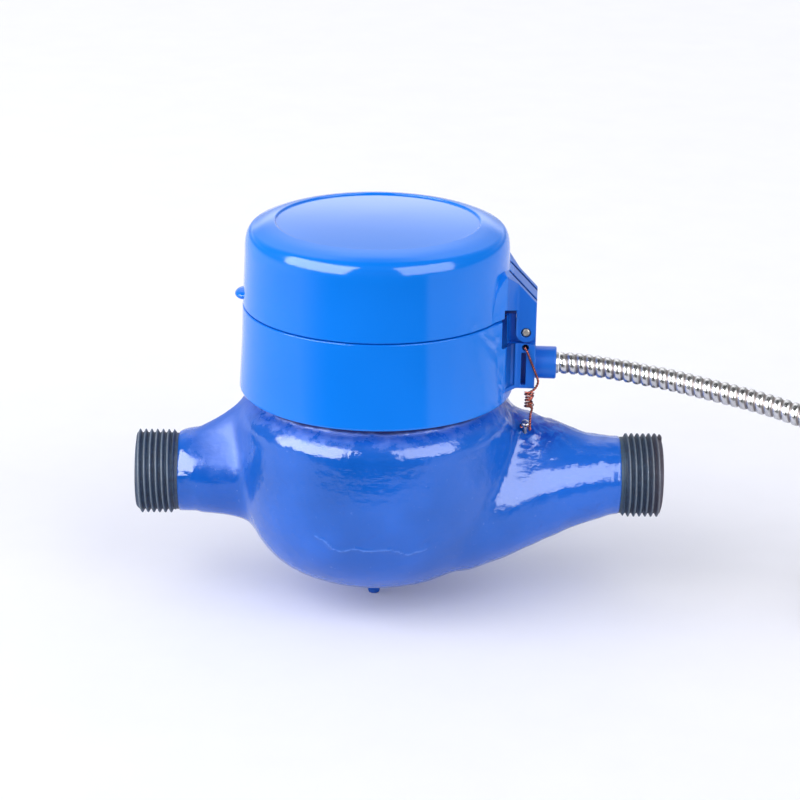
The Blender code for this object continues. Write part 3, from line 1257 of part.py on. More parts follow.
def make_lead_tail():
    """The lead's free end, out of the sleeve and down onto the ground."""
    spot, heading = conduit_end()
    side = Vector((heading.y, -heading.x, 0))
    start = spot + heading * (END_RUN + CLEARANCE)
    high = NUB_TIP + END_SLEEVE_RADIUS
    low = NUB_TIP + TAIL_RADIUS
    route = []
    for along, across, height in ((0, 0, high), (0.008, 0, high), (0.0145, 0, high), (0.021, -0.0002, high - 0.0008),
                                  (0.029, -0.0012, low + 0.0004), (0.037, -0.0034, low), (0.045, -0.0068, low)):
        point = start + heading * along + side * across
        point.z = height
        route.append(point)
    return cable('lead_tail', smooth_route(route, 0.0070), TAIL_RADIUS, finish('lead_sheath', (46, 48, 52), 0.5), 2)


def make_seal_wire():
    """Copper wire from the sealing screw, round its own twist, up to the bracket's seal hole."""
    foot, up = screw_seat()
    across = Vector((1, 0, 0))
    back = up.cross(across)
    level = foot + up * (CLEARANCE + 1.25 * WIRE_RADIUS)
    grip = SCREW_SHANK_RADIUS + WIRE_RADIUS + CLEARANCE
    route = []
    for turn in range(204, -1, -34):
        a = math.radians(turn)
        route.append(level + (across * math.cos(a) + back * math.sin(a)) * grip)
    for out, rise in ((0.0012, 0.0), (0.0022, 0.0004), (0.0027, 0.0016)):
        route.append(level + across * grip - back * out + up * rise)
    route += [Vector((SCREW_X + 0.0013, -BRACKET_HALF_WIDTH - 0.00255, BRACKET_BOTTOM - 0.0090))]
    turns = 2.5
    steps = 18
    low, high = BRACKET_BOTTOM - 0.0066, BRACKET_BOTTOM - 0.0018
    radius = 0.0010
    for step in range(steps + 1):
        a = math.tau * turns * step / steps
        route.append(Vector((SCREW_X + 0.0007 + radius * math.cos(a),
                             -BRACKET_HALF_WIDTH - 0.00345 + radius * math.sin(a),
                             low + (high - low) * step / steps)))
    reach = BRACKET_HALF_WIDTH + 0.0008
    route += [bracket_point(BRACKET_FACE, -reach, BRACKET_BOTTOM),
              bracket_point(BRACKET_FACE + 0.0011, -reach + 0.0004, BRACKET_BOTTOM + 0.0022),
              bracket_point(BRACKET_FACE + 0.0004, -reach, BRACKET_BOTTOM + 0.0048),
              bracket_point(BRACKET_FACE - 0.0011, -reach, BRACKET_BOTTOM + 0.0085),
              bracket_point(PIN_X + 0.0006, -reach + 0.0001, SEAL_HOLE_HEIGHT - 0.0012),
              bracket_point(PIN_X, -reach + 0.0010, SEAL_HOLE_HEIGHT),
              bracket_point(PIN_X, -BRACKET_HALF_WIDTH + 0.0040, SEAL_HOLE_HEIGHT)]
    return cable('seal_wire', smooth_route(route, 0.0016), WIRE_RADIUS, copper(), 0)


def main():
    clear_scene()
    make_body()
    make_sealing_screw()
    make_strainer()
    make_basket()
    make_pivot_pin()
    make_impeller()
    make_drive_magnet()
    make_chamber_cover()
    make_gasket()
    make_pressure_plate()
    make_head_ring()
    make_register_case()
    make_drive_spindle()
    make_follower_magnet()
    make_flow_star()
    make_reduction_gear()
    make_pointer_gear()
    make_pointer()
    make_movement_plate()
    make_digits()
    make_board()
    make_dial()
    make_glass()
    make_bezel()
    make_housing()
    make_lid()
    make_hinge_pin()
    make_entry_ferrule()
    make_signal_lead()
    make_conduit()
    make_conduit_coil()
    make_end_sleeve()
    make_lead_tail()
    make_seal_wire()
    for item in bpy.context.scene.objects:
        if item.type == 'MESH':
            item.data.shade_smooth()
            item.data.set_sharp_from_angle(angle=SHARP_ANGLE)


main()
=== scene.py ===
"""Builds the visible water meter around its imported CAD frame: casting, threads, housing, lid and conduit."""

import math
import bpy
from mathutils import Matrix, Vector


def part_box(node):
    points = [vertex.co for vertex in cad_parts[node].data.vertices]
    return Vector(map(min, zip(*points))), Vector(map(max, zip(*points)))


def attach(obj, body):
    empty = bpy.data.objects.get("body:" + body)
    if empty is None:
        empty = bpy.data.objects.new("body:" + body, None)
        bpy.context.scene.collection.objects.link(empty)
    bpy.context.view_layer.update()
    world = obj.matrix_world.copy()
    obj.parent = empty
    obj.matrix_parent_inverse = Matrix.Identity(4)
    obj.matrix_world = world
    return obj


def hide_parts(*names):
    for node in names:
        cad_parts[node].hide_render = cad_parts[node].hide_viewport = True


bl_info = {
    "name": "Water meter",
    "version": (1, 0, 0),
    "blender": (4, 5, 0),
    "location": "3D View > Sidebar > Meter",
    "description": "Models and finishes a remote-reading water meter, piece by piece",
    "category": "Add Mesh",
}

import bpy
import numpy as np
from bpy.props import FloatProperty, FloatVectorProperty, IntProperty, PointerProperty
from mathutils import Matrix, Vector, noise

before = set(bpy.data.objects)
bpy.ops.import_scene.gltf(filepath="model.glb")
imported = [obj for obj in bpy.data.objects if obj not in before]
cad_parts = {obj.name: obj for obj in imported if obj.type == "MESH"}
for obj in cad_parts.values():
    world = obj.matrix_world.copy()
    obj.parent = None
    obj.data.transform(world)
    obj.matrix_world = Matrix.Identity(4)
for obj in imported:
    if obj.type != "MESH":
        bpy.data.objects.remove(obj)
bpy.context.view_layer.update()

TURN = math.tau
RIGHT = math.pi / 2
WELD = 0.000002
BRACKET_TURN = math.radians(4.0)
BRACKET = Matrix.Rotation(-BRACKET_TURN, 4, "Z")

# The photograph's frame in pixels, the spot in it that the meter's origin falls on, and the camera's bearing.
FRAME = 800
ORIGIN_PIXEL = (375.1, 472.5)
CAMERA_BEARING = (-0.2, 21.6)
CAMERA_ROLL = 0.6
CAMERA_DISTANCE = 0.8

# Places shared with the CAD model, in metres.
GROUND = -0.0398
INLET_END = 0.0900
OUTLET_END = -0.0750
BOWL_RADIUS = 0.0434
BOWL_EQUATOR = 0.0190
BOWL_DEPTH = 0.0502
BOWL_FULLNESS = 3.3
CROWN_RADIUS = 0.0240
CROWN_DROP = 0.0028
BOSS_RADIUS = 0.0380
BOSS_TOP = 0.0365
WATER_WALL = 0.0040
NUB_FORWARD = -0.0030
NUB_RADIUS = 0.0021
RUN_LIFT = 0.00045
SHOULDER = 0.0080
SKIRT_BOTTOM = 0.0296
SKIRT_RADIUS = 0.0424
SEAM_HEIGHT = 0.0563
SEAM_RADIUS = 0.04125
LID_START = 0.0566
LID_RADIUS = SEAM_RADIUS - 0.00075
LID_WALL = 0.0020
LIP_BORE = 0.0370
LIP_RADIUS = 0.0385
LIP_TOP = 0.0582
RIM_TOP = 0.0826
DISC_RADIUS = 0.0312
FACE = 0.0492
FACE_TOP = 0.0603
HOOD_SLOPE = 1.05
HOOD_ROOT = 0.0315
CHEEK = 0.00875
GROOVE = 0.0051
PIN_X = 0.04615
PIN_Z = 0.05085
PIN_BORE = 0.0015
SEAL_Z = 0.0461
LUG = 0.00305
KNUCKLE = 0.0060
KNUCKLE_RADIUS = 0.0029
BRACKET_BOTTOM = 0.0330
GLAND_Z = 0.03865
GLAND_END = 0.0557
CONDUIT_START = 0.0568
COIL_CENTRE = (0.1855, -0.0254)
COIL_RADIUS = 0.0310
COIL_PITCH = 0.0070
COIL_TURNS = 2.44
COIL_BEARING = 239.0
RAMP_TURNS = 0.90
END_RUN = 0.0160
SLEEVE_RADIUS = 0.0040
SLEEVE_LENGTH = 0.0140
TAIL_RADIUS = 0.0019
SCREW_X = 0.0463
SCREW_TILT = math.radians(21.0)
CURL_X = 0.0470
CURL_Y = -0.0122
CURL_RISE = 0.0048


def linear(red, green, blue):
    """Turn screen values from 0 to 255 into the linear colour that a shader takes."""
    shares = [value / 255 for value in (red, green, blue)]
    return tuple(s / 12.92 if s <= 0.04045 else ((s + 0.055) / 1.055) ** 2.4 for s in shares)


class MeterSizes(bpy.types.PropertyGroup):
    """Sizes that may be changed without the CAD model."""

    thread_crest: FloatProperty(name="Thread crest", description="Radius over the thread's crests",
                                default=0.01322, unit="LENGTH", precision=5)
    thread_root: FloatProperty(name="Thread root", description="Radius at the thread's roots",
                               default=0.01206, unit="LENGTH", precision=5)
    thread_pitch: FloatProperty(name="Thread pitch", description="Advance of the thread in one turn",
                                default=0.001814, unit="LENGTH", precision=6)
    conduit_radius: FloatProperty(name="Conduit radius", description="Outer radius of the armoured conduit",
                                  default=0.0034, unit="LENGTH", precision=5)
    conduit_pitch: FloatProperty(name="Conduit pitch", description="Width of one interlocked strip",
                                 default=0.00285, unit="LENGTH", precision=5)
    wire_radius: FloatProperty(name="Seal wire radius", description="Radius of one strand of the seal wire",
                               default=0.00021, unit="LENGTH", precision=5)
    casting_voxel: FloatProperty(name="Casting grain", description="Size of the casting's mesh",
                                 default=0.00075, unit="LENGTH", precision=5)
    turn_steps: IntProperty(name="Steps round", description="Segments round the turned pieces",
                            default=160, min=24, max=256)


class MeterColours(bpy.types.PropertyGroup):
    """Colours of the meter's finishes."""

    plastic: FloatVectorProperty(name="Housing plastic", description="Moulded housing and lid",
                                 subtype="COLOR", default=linear(8, 123, 234), min=0, max=1)
    # The bracket and hood take a darker colour than the housing: painted shade.
    hinge_plastic: FloatVectorProperty(name="Bracket painted shade", description="Bracket and hood, darker as painted shade",
                                       subtype="COLOR", default=linear(12, 106, 212), min=0, max=1)
    enamel: FloatVectorProperty(name="Body enamel", description="Paint on the casting",
                                subtype="COLOR", default=linear(4, 93, 196), min=0, max=1)
    thread_paint: FloatVectorProperty(name="Thread paint", description="Thin paint left on the threads",
                                      subtype="COLOR", default=linear(62, 84, 112), min=0, max=1)
    steel: FloatVectorProperty(name="Conduit steel", description="Stainless strip of the conduit",
                               subtype="COLOR", default=linear(214, 214, 216), min=0, max=1)
    copper: FloatVectorProperty(name="Seal copper", description="Seal wire",
                                subtype="COLOR", default=linear(176, 102, 90), min=0, max=1)


def sizes():
    return bpy.context.scene.meter_sizes


def colours():
    return bpy.context.scene.meter_colours


# Modelling steps.


def toward(azimuth, elevation):
    """The way from the meter at a bearing in degrees, and the turn that looks back along it."""
    azimuth, elevation = math.radians(azimuth), math.radians(elevation)
    flat = math.cos(elevation)
    way = Vector((math.sin(azimuth) * flat, -math.cos(azimuth) * flat, math.sin(elevation)))
    return way, (-way).to_track_quat("-Z", "Y").to_matrix().to_4x4()


def only(item):
    """Select this object alone and make it the active one."""
    bpy.ops.object.select_all(action="DESELECT")
    item.select_set(True)
    bpy.context.view_layer.objects.active = item
    return item


def fresh(name, operator, **settings):
    """Add a primitive with nothing else selected, and name it."""
    bpy.ops.object.select_all(action="DESELECT")
    operator(**settings)
    item = bpy.context.object
    item.name = name
    return item


def edit_all(item):
    only(item)
    bpy.ops.object.mode_set(mode="EDIT")
    bpy.ops.mesh.select_all(action="SELECT")


def leave_edit():
    bpy.ops.object.mode_set(mode="OBJECT")


def tidy(item, outward=True):
    """Merge doubles and turn the faces outwards."""
    edit_all(item)
    bpy.ops.mesh.remove_doubles(threshold=WELD)
    if outward:
        bpy.ops.mesh.normals_make_consistent(inside=False)
    leave_edit()
    return item


def drawn(name, points, closed=False):
    """A line drawn point by point, or the flat face inside it."""
    item = fresh(name, bpy.ops.mesh.primitive_plane_add, size=0.002)
    item.data.name = name
    bpy.ops.object.mode_set(mode="EDIT")
    bpy.ops.mesh.merge(type="CENTER")
    bpy.ops.transform.translate(value=points[0])
    for before, after in zip(points, points[1:]):
        step = Vector(after) - Vector(before)
        bpy.ops.mesh.extrude_vertices_move(TRANSFORM_OT_translate={"value": step})
    if closed:
        bpy.ops.mesh.select_all(action="SELECT")
        bpy.ops.mesh.edge_face_add()
    leave_edit()
    return item


def placed(item, place):
    """Move an object and put the move into its mesh."""
    only(item)
    item.matrix_world = place
    bpy.ops.object.transform_apply(location=True, rotation=True, scale=True)
    return item


def turned(name, profile, steps=0, place=None):
    """Spin a profile of (radius, height) round Z."""
    item = drawn(name, [(r, 0.0, z) for r, z in profile])
    edit_all(item)
    bpy.ops.mesh.spin(steps=steps or sizes().turn_steps, angle=TURN, center=(0, 0, 0), axis=(0, 0, 1),
                      use_auto_merge=True)
    leave_edit()
    tidy(item)
    return placed(item, place) if place else item


def prism(name, outline, low, high, axis="Z", place=None):
    """Extrude a closed outline along an axis."""
    number = "XYZ".index(axis)
    item = drawn(name, [(*spot[:number], low, *spot[number:]) for spot in outline], closed=True)
    way = [float(other == number) for other in range(3)]
    edit_all(item)
    bpy.ops.mesh.extrude_region_move(TRANSFORM_OT_translate={"value": Vector(way) * (high - low)})
    leave_edit()
    tidy(item)
    return placed(item, place) if place else item


def modified(item, kind, **settings):
    """Add a modifier, set it and apply it."""
    only(item)
    bpy.ops.object.modifier_add(type=kind)
    modifier = item.modifiers[-1]
    for key, value in settings.items():
        setattr(modifier, key, value)
    bpy.ops.object.modifier_apply(modifier=modifier.name)
    return item


def combined(item, operation, *others):
    """Join, cut or intersect with other objects, which are used up."""
    for other in others:
        modified(item, "BOOLEAN", operation=operation, object=other, solver="EXACT")
        bpy.data.objects.remove(other)
        tidy(item, outward=False)
    return item


def merged(name, items):
    """Join several objects into one without cutting them."""
    only(items[0])
    for item in items[1:]:
        item.select_set(True)
    if len(items) > 1:
        bpy.ops.object.join()
    items[0].name = name
    items[0].data.name = name
    return items[0]


def smooth(item, degrees=35.0):
    only(item)
    bpy.ops.object.shade_smooth_by_angle(angle=math.radians(degrees))
    return item


def standing(foot, up):
    """The place of a piece that stands at foot with its Z along up."""
    return Matrix.Translation(foot) @ up.to_track_quat("Z", "Y").to_matrix().to_4x4()


def cylinder(name, start, end, radius, sides=32, bevel=0.0):
    """A rod between two points, with its end edges bevelled."""
    start, end = Vector(start), Vector(end)
    heading = end - start
    length = heading.length
    edge = min(bevel, radius * 0.6)
    profile = [(0, 0), (radius - edge, 0), (radius, edge), (radius, length - edge), (radius - edge, length)]
    if not edge:
        profile = [(0, 0), (radius, 0), (radius, length)]
    profile.append((0, length))
    return turned(name, profile, sides, standing(start, heading))


def cross_rod(name, reach, height, radius, sides, bevel=0.0):
    """A rod across the hinge bracket, in line with the pin."""
    start, end = (BRACKET @ Vector((PIN_X, side * reach, height)) for side in (-1, 1))
    return cylinder(name, start, end, radius, sides, bevel)


def arc(centre, radius, start, end, steps):
    """Points on an arc, angles in degrees."""
    angles = [math.radians(start + (end - start) * step / steps) for step in range(steps + 1)]
    return [(centre[0] + radius * math.cos(a), centre[1] + radius * math.sin(a)) for a in angles]


def rounded(points, radii, steps=4):
    """Round the named corners of a closed outline: radii maps a point's number to its radius."""
    made = []
    count = len(points)
    for spot, point in enumerate(points):
        radius = radii.get(spot, 0.0)
        if not radius:
            made.append(point)
            continue
        here = Vector(point)
        back = (Vector(points[spot - 1]) - here).normalized()
        on = (Vector(points[(spot + 1) % count]) - here).normalized()
        half = back.angle(on) / 2
        reach = radius / math.tan(half)
        first, last = here + back * reach, here + on * reach
        centre = here + (back + on).normalized() * (radius / math.sin(half))
        for step in range(steps + 1):
            share = step / steps
            way = (first - centre).lerp(last - centre, share).normalized() * radius
            made.append(tuple(centre + way))
    return made


def eased(route, count):
    """A smooth curve of count points through a route, evenly spaced along it."""
    knots = [Vector(p) for p in route]
    knots = [knots[0] * 2 - knots[1]] + knots + [knots[-1] * 2 - knots[-2]]
    fine = []
    for a, b, c, d in zip(knots, knots[1:], knots[2:], knots[3:]):
        for step in range(24):
            t = step / 24
            fine.append(0.5 * ((2 * b) + (c - a) * t + (2 * a - 5 * b + 4 * c - d) * t * t
                               + (3 * b - a - 3 * c + d) * t ** 3))
    fine.append(knots[-2])
    fine = np.array([tuple(p) for p in fine])
    run = np.concatenate([[0], np.cumsum(np.linalg.norm(np.diff(fine, axis=0), axis=1))])
    marks = np.linspace(0, run[-1], count)
    return np.stack([np.interp(marks, run, fine[:, axis]) for axis in range(3)], axis=1)


def length_of(points):
    return float(np.linalg.norm(np.diff(np.asarray(points), axis=0), axis=1).sum())


def frames_along(points):
    """Two crosswise directions at each point, turning as little as possible."""
    points = np.asarray(points, float)
    tangents = np.gradient(points, axis=0)
    tangents /= np.linalg.norm(tangents, axis=1)[:, None]
    side = np.cross(tangents[0], (0.0, 0.0, 1.0))
    if np.linalg.norm(side) < 0.1:
        side = np.cross(tangents[0], (0.0, 1.0, 0.0))
    sides = []
    for tangent in tangents:
        side = side - tangent * np.dot(side, tangent)
        side = side / np.linalg.norm(side)
        sides.append(side)
    sides = np.array(sides)
    return sides, np.cross(tangents, sides)


def tube(name, points, radii, around=12):
    """A closed tube along points. radii holds one radius a point, or one for each point and side."""
    points = np.asarray(points, float)
    count = len(points)
    sides, ups = frames_along(points)
    radii = np.asarray(radii, float)
    radii = np.broadcast_to(radii if radii.ndim < 2 else radii.reshape(count, -1), (count, around))
    angles = TURN * np.arange(around) / around
    rings = (points[:, None] + radii[:, :, None] * (np.cos(angles)[None, :, None] * sides[:, None]
                                                    + np.sin(angles)[None, :, None] * ups[:, None]))
    spots = np.concatenate([rings.reshape(-1, 3), points[:1], points[-1:]])
    first = np.arange(count - 1)[:, None] * around
    here, after = np.arange(around)[None], (np.arange(around)[None] + 1) % around
    quads = np.stack([first + here, first + after, first + around + after, first + around + here], -1)
    base, top = count * around, (count - 1) * around
    ends = [(base, (s + 1) % around, s) for s in range(around)]
    ends += [(base + 1, top + s, top + (s + 1) % around) for s in range(around)]
    mesh = bpy.data.meshes.new(name)
    mesh.from_pydata(spots.tolist(), [], quads.reshape(-1, 4).tolist() + ends)
    item = bpy.data.objects.new(name, mesh)
    bpy.context.collection.objects.link(item)
    return tidy(item)


# Materials.


class Socket:
    """A value in a node tree. Sums, products and powers on it add their Math nodes."""

    def __init__(self, finish, output):
        self.finish = finish
        self.output = output

    def worked(self, operation, first, second):
        return self.finish.node("ShaderNodeMath", {"operation": operation}, {0: first, 1: second})

    def __add__(self, other):
        return self.worked("ADD", self, other)

    __radd__ = __add__

    def __sub__(self, other):
        return self.worked("SUBTRACT", self, other)

    def __rsub__(self, other):
        return self.worked("SUBTRACT", other, self)

    def __mul__(self, other):
        return self.worked("MULTIPLY", self, other)

    __rmul__ = __mul__

    def __truediv__(self, other):
        return self.worked("DIVIDE", self, other)

    def __pow__(self, other):
        return self.worked("POWER", self, other)

    def at_least(self, other):
        return self.worked("MAXIMUM", self, other)

    def within(self, low, high):
        """1 between two values and 0 outside them."""
        return self.worked("GREATER_THAN", self, low) * self.worked("LESS_THAN", self, high)


class Finish:
    """A Principled material and the nodes that feed it."""

    def __init__(self, name, **sockets):
        self.material = bpy.data.materials.new(name)
        self.material.use_nodes = True
        self.tree = self.material.node_tree
        self.shader = self.tree.nodes["Principled BSDF"]
        self.feed(**sockets)
        self.place = self.node("ShaderNodeTexCoord", {}, {}, "Object")

    def feed(self, **sockets):
        """Give the shader's sockets values or links; underscores stand for spaces."""
        for name, value in sockets.items():
            self.give(self.shader.inputs[name.replace("_", " ")], value)

    def give(self, socket, value):
        if isinstance(value, Socket):
            self.tree.links.new(value.output, socket)
        elif socket.type == "RGBA" and len(value) == 3:
            socket.default_value = (*value, 1.0)
        else:
            socket.default_value = value

    def node(self, kind, settings=None, sockets=None, result=0):
        """Add a node, set it, fill its sockets and return one result."""
        made = self.tree.nodes.new(kind)
        for key, value in (settings or {}).items():
            if key == "stops":
                while len(made.color_ramp.elements) < len(value):
                    made.color_ramp.elements.new(1.0)
                for element, (spot, shade) in zip(made.color_ramp.elements, value):
                    element.position = spot
                    element.color = (shade, shade, shade, 1.0)
            else:
                setattr(made, key, value)
        for key, value in (sockets or {}).items():
            self.give(made.inputs[key], value)
        return Socket(self, made.outputs[result])

    def noise(self, scale, detail=3.0, roughness=0.55, vector=None, distortion=0.0):
        """Noise whose scale is in spots a metre."""
        return self.node("ShaderNodeTexNoise", {},
                         {"Vector": vector or self.place, "Scale": scale, "Detail": detail,
                          "Roughness": roughness, "Distortion": distortion})

    def ramp(self, value, *stops):
        return self.node("ShaderNodeValToRGB", {"stops": stops}, {"Fac": value})

    def mix(self, factor, first, second):
        """Mix two colours."""
        return self.node("ShaderNodeMix", {"data_type": "RGBA"}, {0: factor, 6: first, 7: second}, 2)

    def bump(self, height, strength, distance, normal=None):
        sockets = {"Height": height, "Strength": strength, "Distance": distance}
        if normal:
            sockets["Normal"] = normal
        return self.node("ShaderNodeBump", {}, sockets)

    def away(self, *spot):
        """Distance from a spot."""
        return self.node("ShaderNodeVectorMath", {"operation": "DISTANCE"}, {0: self.place, 1: spot}, 1)

    def attribute(self, name):
        return self.node("ShaderNodeAttribute", {"attribute_name": name}, {}, 2)

    def stretched(self, *scale):
        """A place stretched along the axes, for noise of scale 1."""
        return self.node("ShaderNodeMapping", {}, {"Vector": self.place, "Scale": scale})

    def softened(self, radius):
        """A normal that rounds the edges of the mesh."""
        return self.node("ShaderNodeBevel", {"samples": 4}, {"Radius": radius})

    def split(self, axis):
        return self.node("ShaderNodeSeparateXYZ", {}, {0: self.place}, axis)


class Sky(Finish):
    """The nodes of the world or of the paper, which glow rather than shine."""

    def __init__(self, holder, place):
        self.holder = holder
        holder.use_nodes = True
        self.tree = holder.node_tree
        self.tree.nodes.clear()
        self.place = self.node("ShaderNodeTexCoord", {}, {}, place)

    def glow(self, colour, strength=1.0):
        return self.node("ShaderNodeEmission", {}, {0: colour, 1: strength})

    def choose(self, factor, first, second):
        return self.node("ShaderNodeMixShader", {}, {0: factor, 1: first, 2: second})

    def finished(self, kind, shader):
        self.give(self.tree.nodes.new(kind).inputs["Surface"], shader)


def coated(item, finish):
    """Give every face of a piece one finish."""
    item.data.materials.clear()
    item.data.materials.append(finish.material)
    return item


def dressed(node, finish):
    """Give a CAD node a finish in place of its own."""
    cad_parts[node].data.materials.clear()
    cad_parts[node].data.materials.append(finish.material)


def housing_finish():
    """Moulded gloss plastic, with faint flow marks and fine scuffs."""
    made = Finish("housing_gloss", IOR=1.46, Specular_IOR_Level=0.42)
    base = colours().plastic
    drift = made.noise(16.0, 2.0)
    pale = [min(1.0, c * 1.05 + 0.001) for c in base]
    deep = [c * 0.95 for c in base]
    colour = made.mix(made.ramp(drift, (0.35, 0.0), (0.65, 1.0)), deep, pale)
    scuffs = made.ramp(made.noise(260.0, 5.0, 0.75, distortion=0.6), (0.66, 0.0), (0.74, 1.0))
    rough = made.ramp(drift, (0.3, 0.10), (0.7, 0.15)) + scuffs * 0.08
    x, y, z = (made.split(axis) for axis in range(3))
    wall = (x * x + y * y) ** 0.5 * 10.0
    # The place in the bracket's own frame: out along it, and to either side.
    out = x * math.cos(BRACKET_TURN) - y * math.sin(BRACKET_TURN)
    side = x * math.sin(BRACKET_TURN) + y * math.cos(BRACKET_TURN)
    side = (side * side) ** 0.5
    # Outside the round wall the bracket and hood are rougher, and darker in colour as painted shade.
    hinge = made.ramp(out * 10.0, (0.400, 0.0), (0.404, 1.0)) * made.ramp(wall, (0.417, 0.0), (0.421, 1.0))
    colour = made.mix(hinge, colour, colours().hinge_plastic)
    rough = rough + hinge * 0.16
    # The channel beside the cheek, the hood's grooves and the slot all lie in shade.
    depth = (out - 0.0435) * 0.833 + (side - CHEEK) * 0.554
    inset = depth.within(-0.02, -0.0003) * side.within(CHEEK + 0.00005, 0.02) * out.within(0.0388, 0.0492)
    inset = inset * z.within(0.0335, 0.0600) * made.ramp(z * 10.0, (0.36, 0.30), (0.47, 0.75), (0.565, 1.0))
    slope = z + out * HOOD_SLOPE
    groove = side.within(GROOVE - 0.0014, GROOVE + 0.0014)
    groove = groove * slope.within(0.0, FACE_TOP + FACE * HOOD_SLOPE - 0.0003)
    groove = groove * z.within(0.0585, 0.08) * out.within(0.0405, FACE + 0.001)
    hole = side.within(-1.0, 0.0083) * out.within(0.0445, 0.0475) * z.within(0.0333, 0.0474)
    colour = made.mix(inset, colour, linear(22, 46, 116))
    colour = made.mix(groove, colour, linear(12, 48, 128))
    colour = made.mix(hole, colour, linear(30, 82, 190))
    normal = made.bump(made.noise(900.0, 2.0), 0.05, 0.00002, made.softened(0.00035))
    normal = made.bump(made.noise(70.0, 1.5), 0.05, 0.00025, normal)
    made.feed(Base_Color=colour, Roughness=rough, Normal=normal)
    return made


def enamel_finish():
    """Thick brushed enamel over a rough casting: pooled, pitted and glossy."""
    made = Finish("casting_enamel", IOR=1.5, Specular_IOR_Level=0.5, Coat_Roughness=0.1)
    base = colours().enamel
    drift = made.noise(22.0, 3.0)
    pools = made.noise(120.0, 4.0, 0.6, distortion=0.8)
    pale = [min(1.0, c * 1.16 + 0.01) for c in base]
    deep = [c * 0.80 for c in base]
    colour = made.mix(made.ramp(drift, (0.34, 0.0), (0.68, 1.0)), deep, pale)
    colour = made.mix(made.ramp(pools, (0.62, 0.0), (0.78, 0.35)), colour, linear(24, 66, 160))
    specks = made.ramp(made.noise(620.0, 2.0), (0.70, 0.0), (0.76, 1.0))
    colour = made.mix(specks * 0.22, colour, linear(120, 160, 226))
    height = made.split(2)
    ragged = made.noise(240.0, 4.0, 0.7)
    # Dry, frosted paint under the skirt and on the outlet neck.
    frost = made.ramp(height * 10.0 + ragged * 0.06, (0.262, 0.0), (0.292, 1.0))
    frost = frost * made.ramp(ragged, (0.36, 0.2), (0.6, 1.0))
    bloom = made.away(-0.0450, -0.0080, 0.0180)
    bloom = made.ramp(bloom * 10.0 + ragged * 0.08, (0.14, 1.0), (0.21, 0.0))
    frost = frost.at_least(bloom * 0.8)
    frost = frost * made.ramp(made.split(0) * 10.0, (0.24, 1.0), (0.36, 0.15))
    colour = made.mix(frost * 0.32, colour, linear(84, 120, 214))
    # Darker blotches on the inlet's crown, and pale specks on it that are painted glints.
    crown = made.away(0.0490, -0.0020, 0.0230)
    crown = made.ramp(crown * 10.0, (0.10, 1.0), (0.16, 0.0))
    blotch = made.noise(300.0, 3.0, 0.6, distortion=0.8)
    colour = made.mix(crown * made.ramp(blotch, (0.44, 0.0), (0.56, 0.8)), colour, linear(0, 56, 172))
    colour = made.mix(crown * made.ramp(blotch, (0.28, 0.4), (0.34, 0.0)), colour, linear(110, 152, 232))
    rough = made.ramp(pools, (0.3, 0.07), (0.75, 0.17)) + specks * 0.1 + frost * 0.48
    # Painted shadow in the crack below the skirt, darker and duller there, and the run of paint low on the
    # bowl.
    skirt_shadow = made.ramp(height * 10.0 + made.noise(60.0, 3.0) * 0.02, (0.281, 0.0), (0.287, 1.0))
    x, y = made.split(0), made.split(1)
    skirt_shadow = skirt_shadow * made.ramp((x * x + y * y) ** 0.5 * 10.0, (0.412, 1.0), (0.424, 0.0))
    colour = made.mix(skirt_shadow, colour, linear(10, 30, 96))
    # The raised run is painted paler along its top: a painted highlight.
    run = made.attribute("run")
    colour = made.mix(made.ramp(run, (0.45, 0.0), (0.95, 0.6)), colour, linear(88, 142, 230))
    normal = made.bump(made.noise(640.0, 3.0, 0.5), 0.50, 0.00015)
    normal = made.bump(made.noise(110.0, 3.0, 0.6), 0.42, 0.0007, normal)
    normal = made.bump(made.noise(1.0, 3.0, 0.6, made.stretched(110.0, 420.0, 420.0)), 0.40, 0.0003, normal)
    normal = made.bump(made.noise(460.0, 2.0) * crown, 0.35, 0.0004, normal)
    made.feed(Base_Color=colour, Roughness=rough + skirt_shadow * 0.6, Normal=normal,
              Coat_Weight=(1 - skirt_shadow) * (1 - frost) * 0.12)
    return made


def thread_finish():
    """Bare iron showing through thin paint on the crests of the threads."""
    made = Finish("worn_thread")
    along, across, high = (made.split(axis) for axis in range(3))
    reach = (across * across + high * high) ** 0.5
    crest = made.node("ShaderNodeMapRange", {}, {"Value": reach, "From Min": sizes().thread_root + 0.0004,
                                                 "From Max": sizes().thread_crest})
    worn = made.noise(420.0, 5.0, 0.7)
    streaks = made.noise(1.0, 4.0, 0.65, made.stretched(2600.0, 160.0, 160.0))
    bare = made.ramp(crest * 0.45 + worn * 0.6 + streaks * 0.3, (0.72, 0.0), (1.0, 0.7))
    rise = made.ramp(crest + worn * 0.3, (0.30, 0.0), (0.85, 1.0))
    paint = made.mix(rise, linear(44, 58, 80), linear(92, 110, 126))
    paint = made.mix(made.ramp(worn, (0.42, 0.0), (0.65, 0.6)), paint, colours().thread_paint)
    paint = made.mix(made.ramp(streaks, (0.52, 0.0), (0.75, 0.6)), paint, linear(74, 62, 60))
    paint = made.mix(made.ramp(along * 10.0, (0.850, 0.0), (0.895, 0.4)), paint, linear(104, 82, 84))
    teal = made.ramp(along * 10.0, (0.0, 0.0), (0.7, 0.0), (0.745, 0.6), (0.790, 0.0))
    paint = made.mix(teal, paint, linear(66, 100, 116))
    grain = made.ramp(made.noise(900.0, 3.0), (0.3, 0.0), (0.7, 1.0))
    metal = made.mix(grain, linear(104, 106, 110), linear(140, 142, 146))
    made.feed(Base_Color=made.mix(bare, paint, metal), Metallic=bare * 0.6, Roughness=0.46 + worn * 0.22,
              Normal=made.bump(worn, 0.35, 0.00012), Specular_IOR_Level=0.3)
    return made


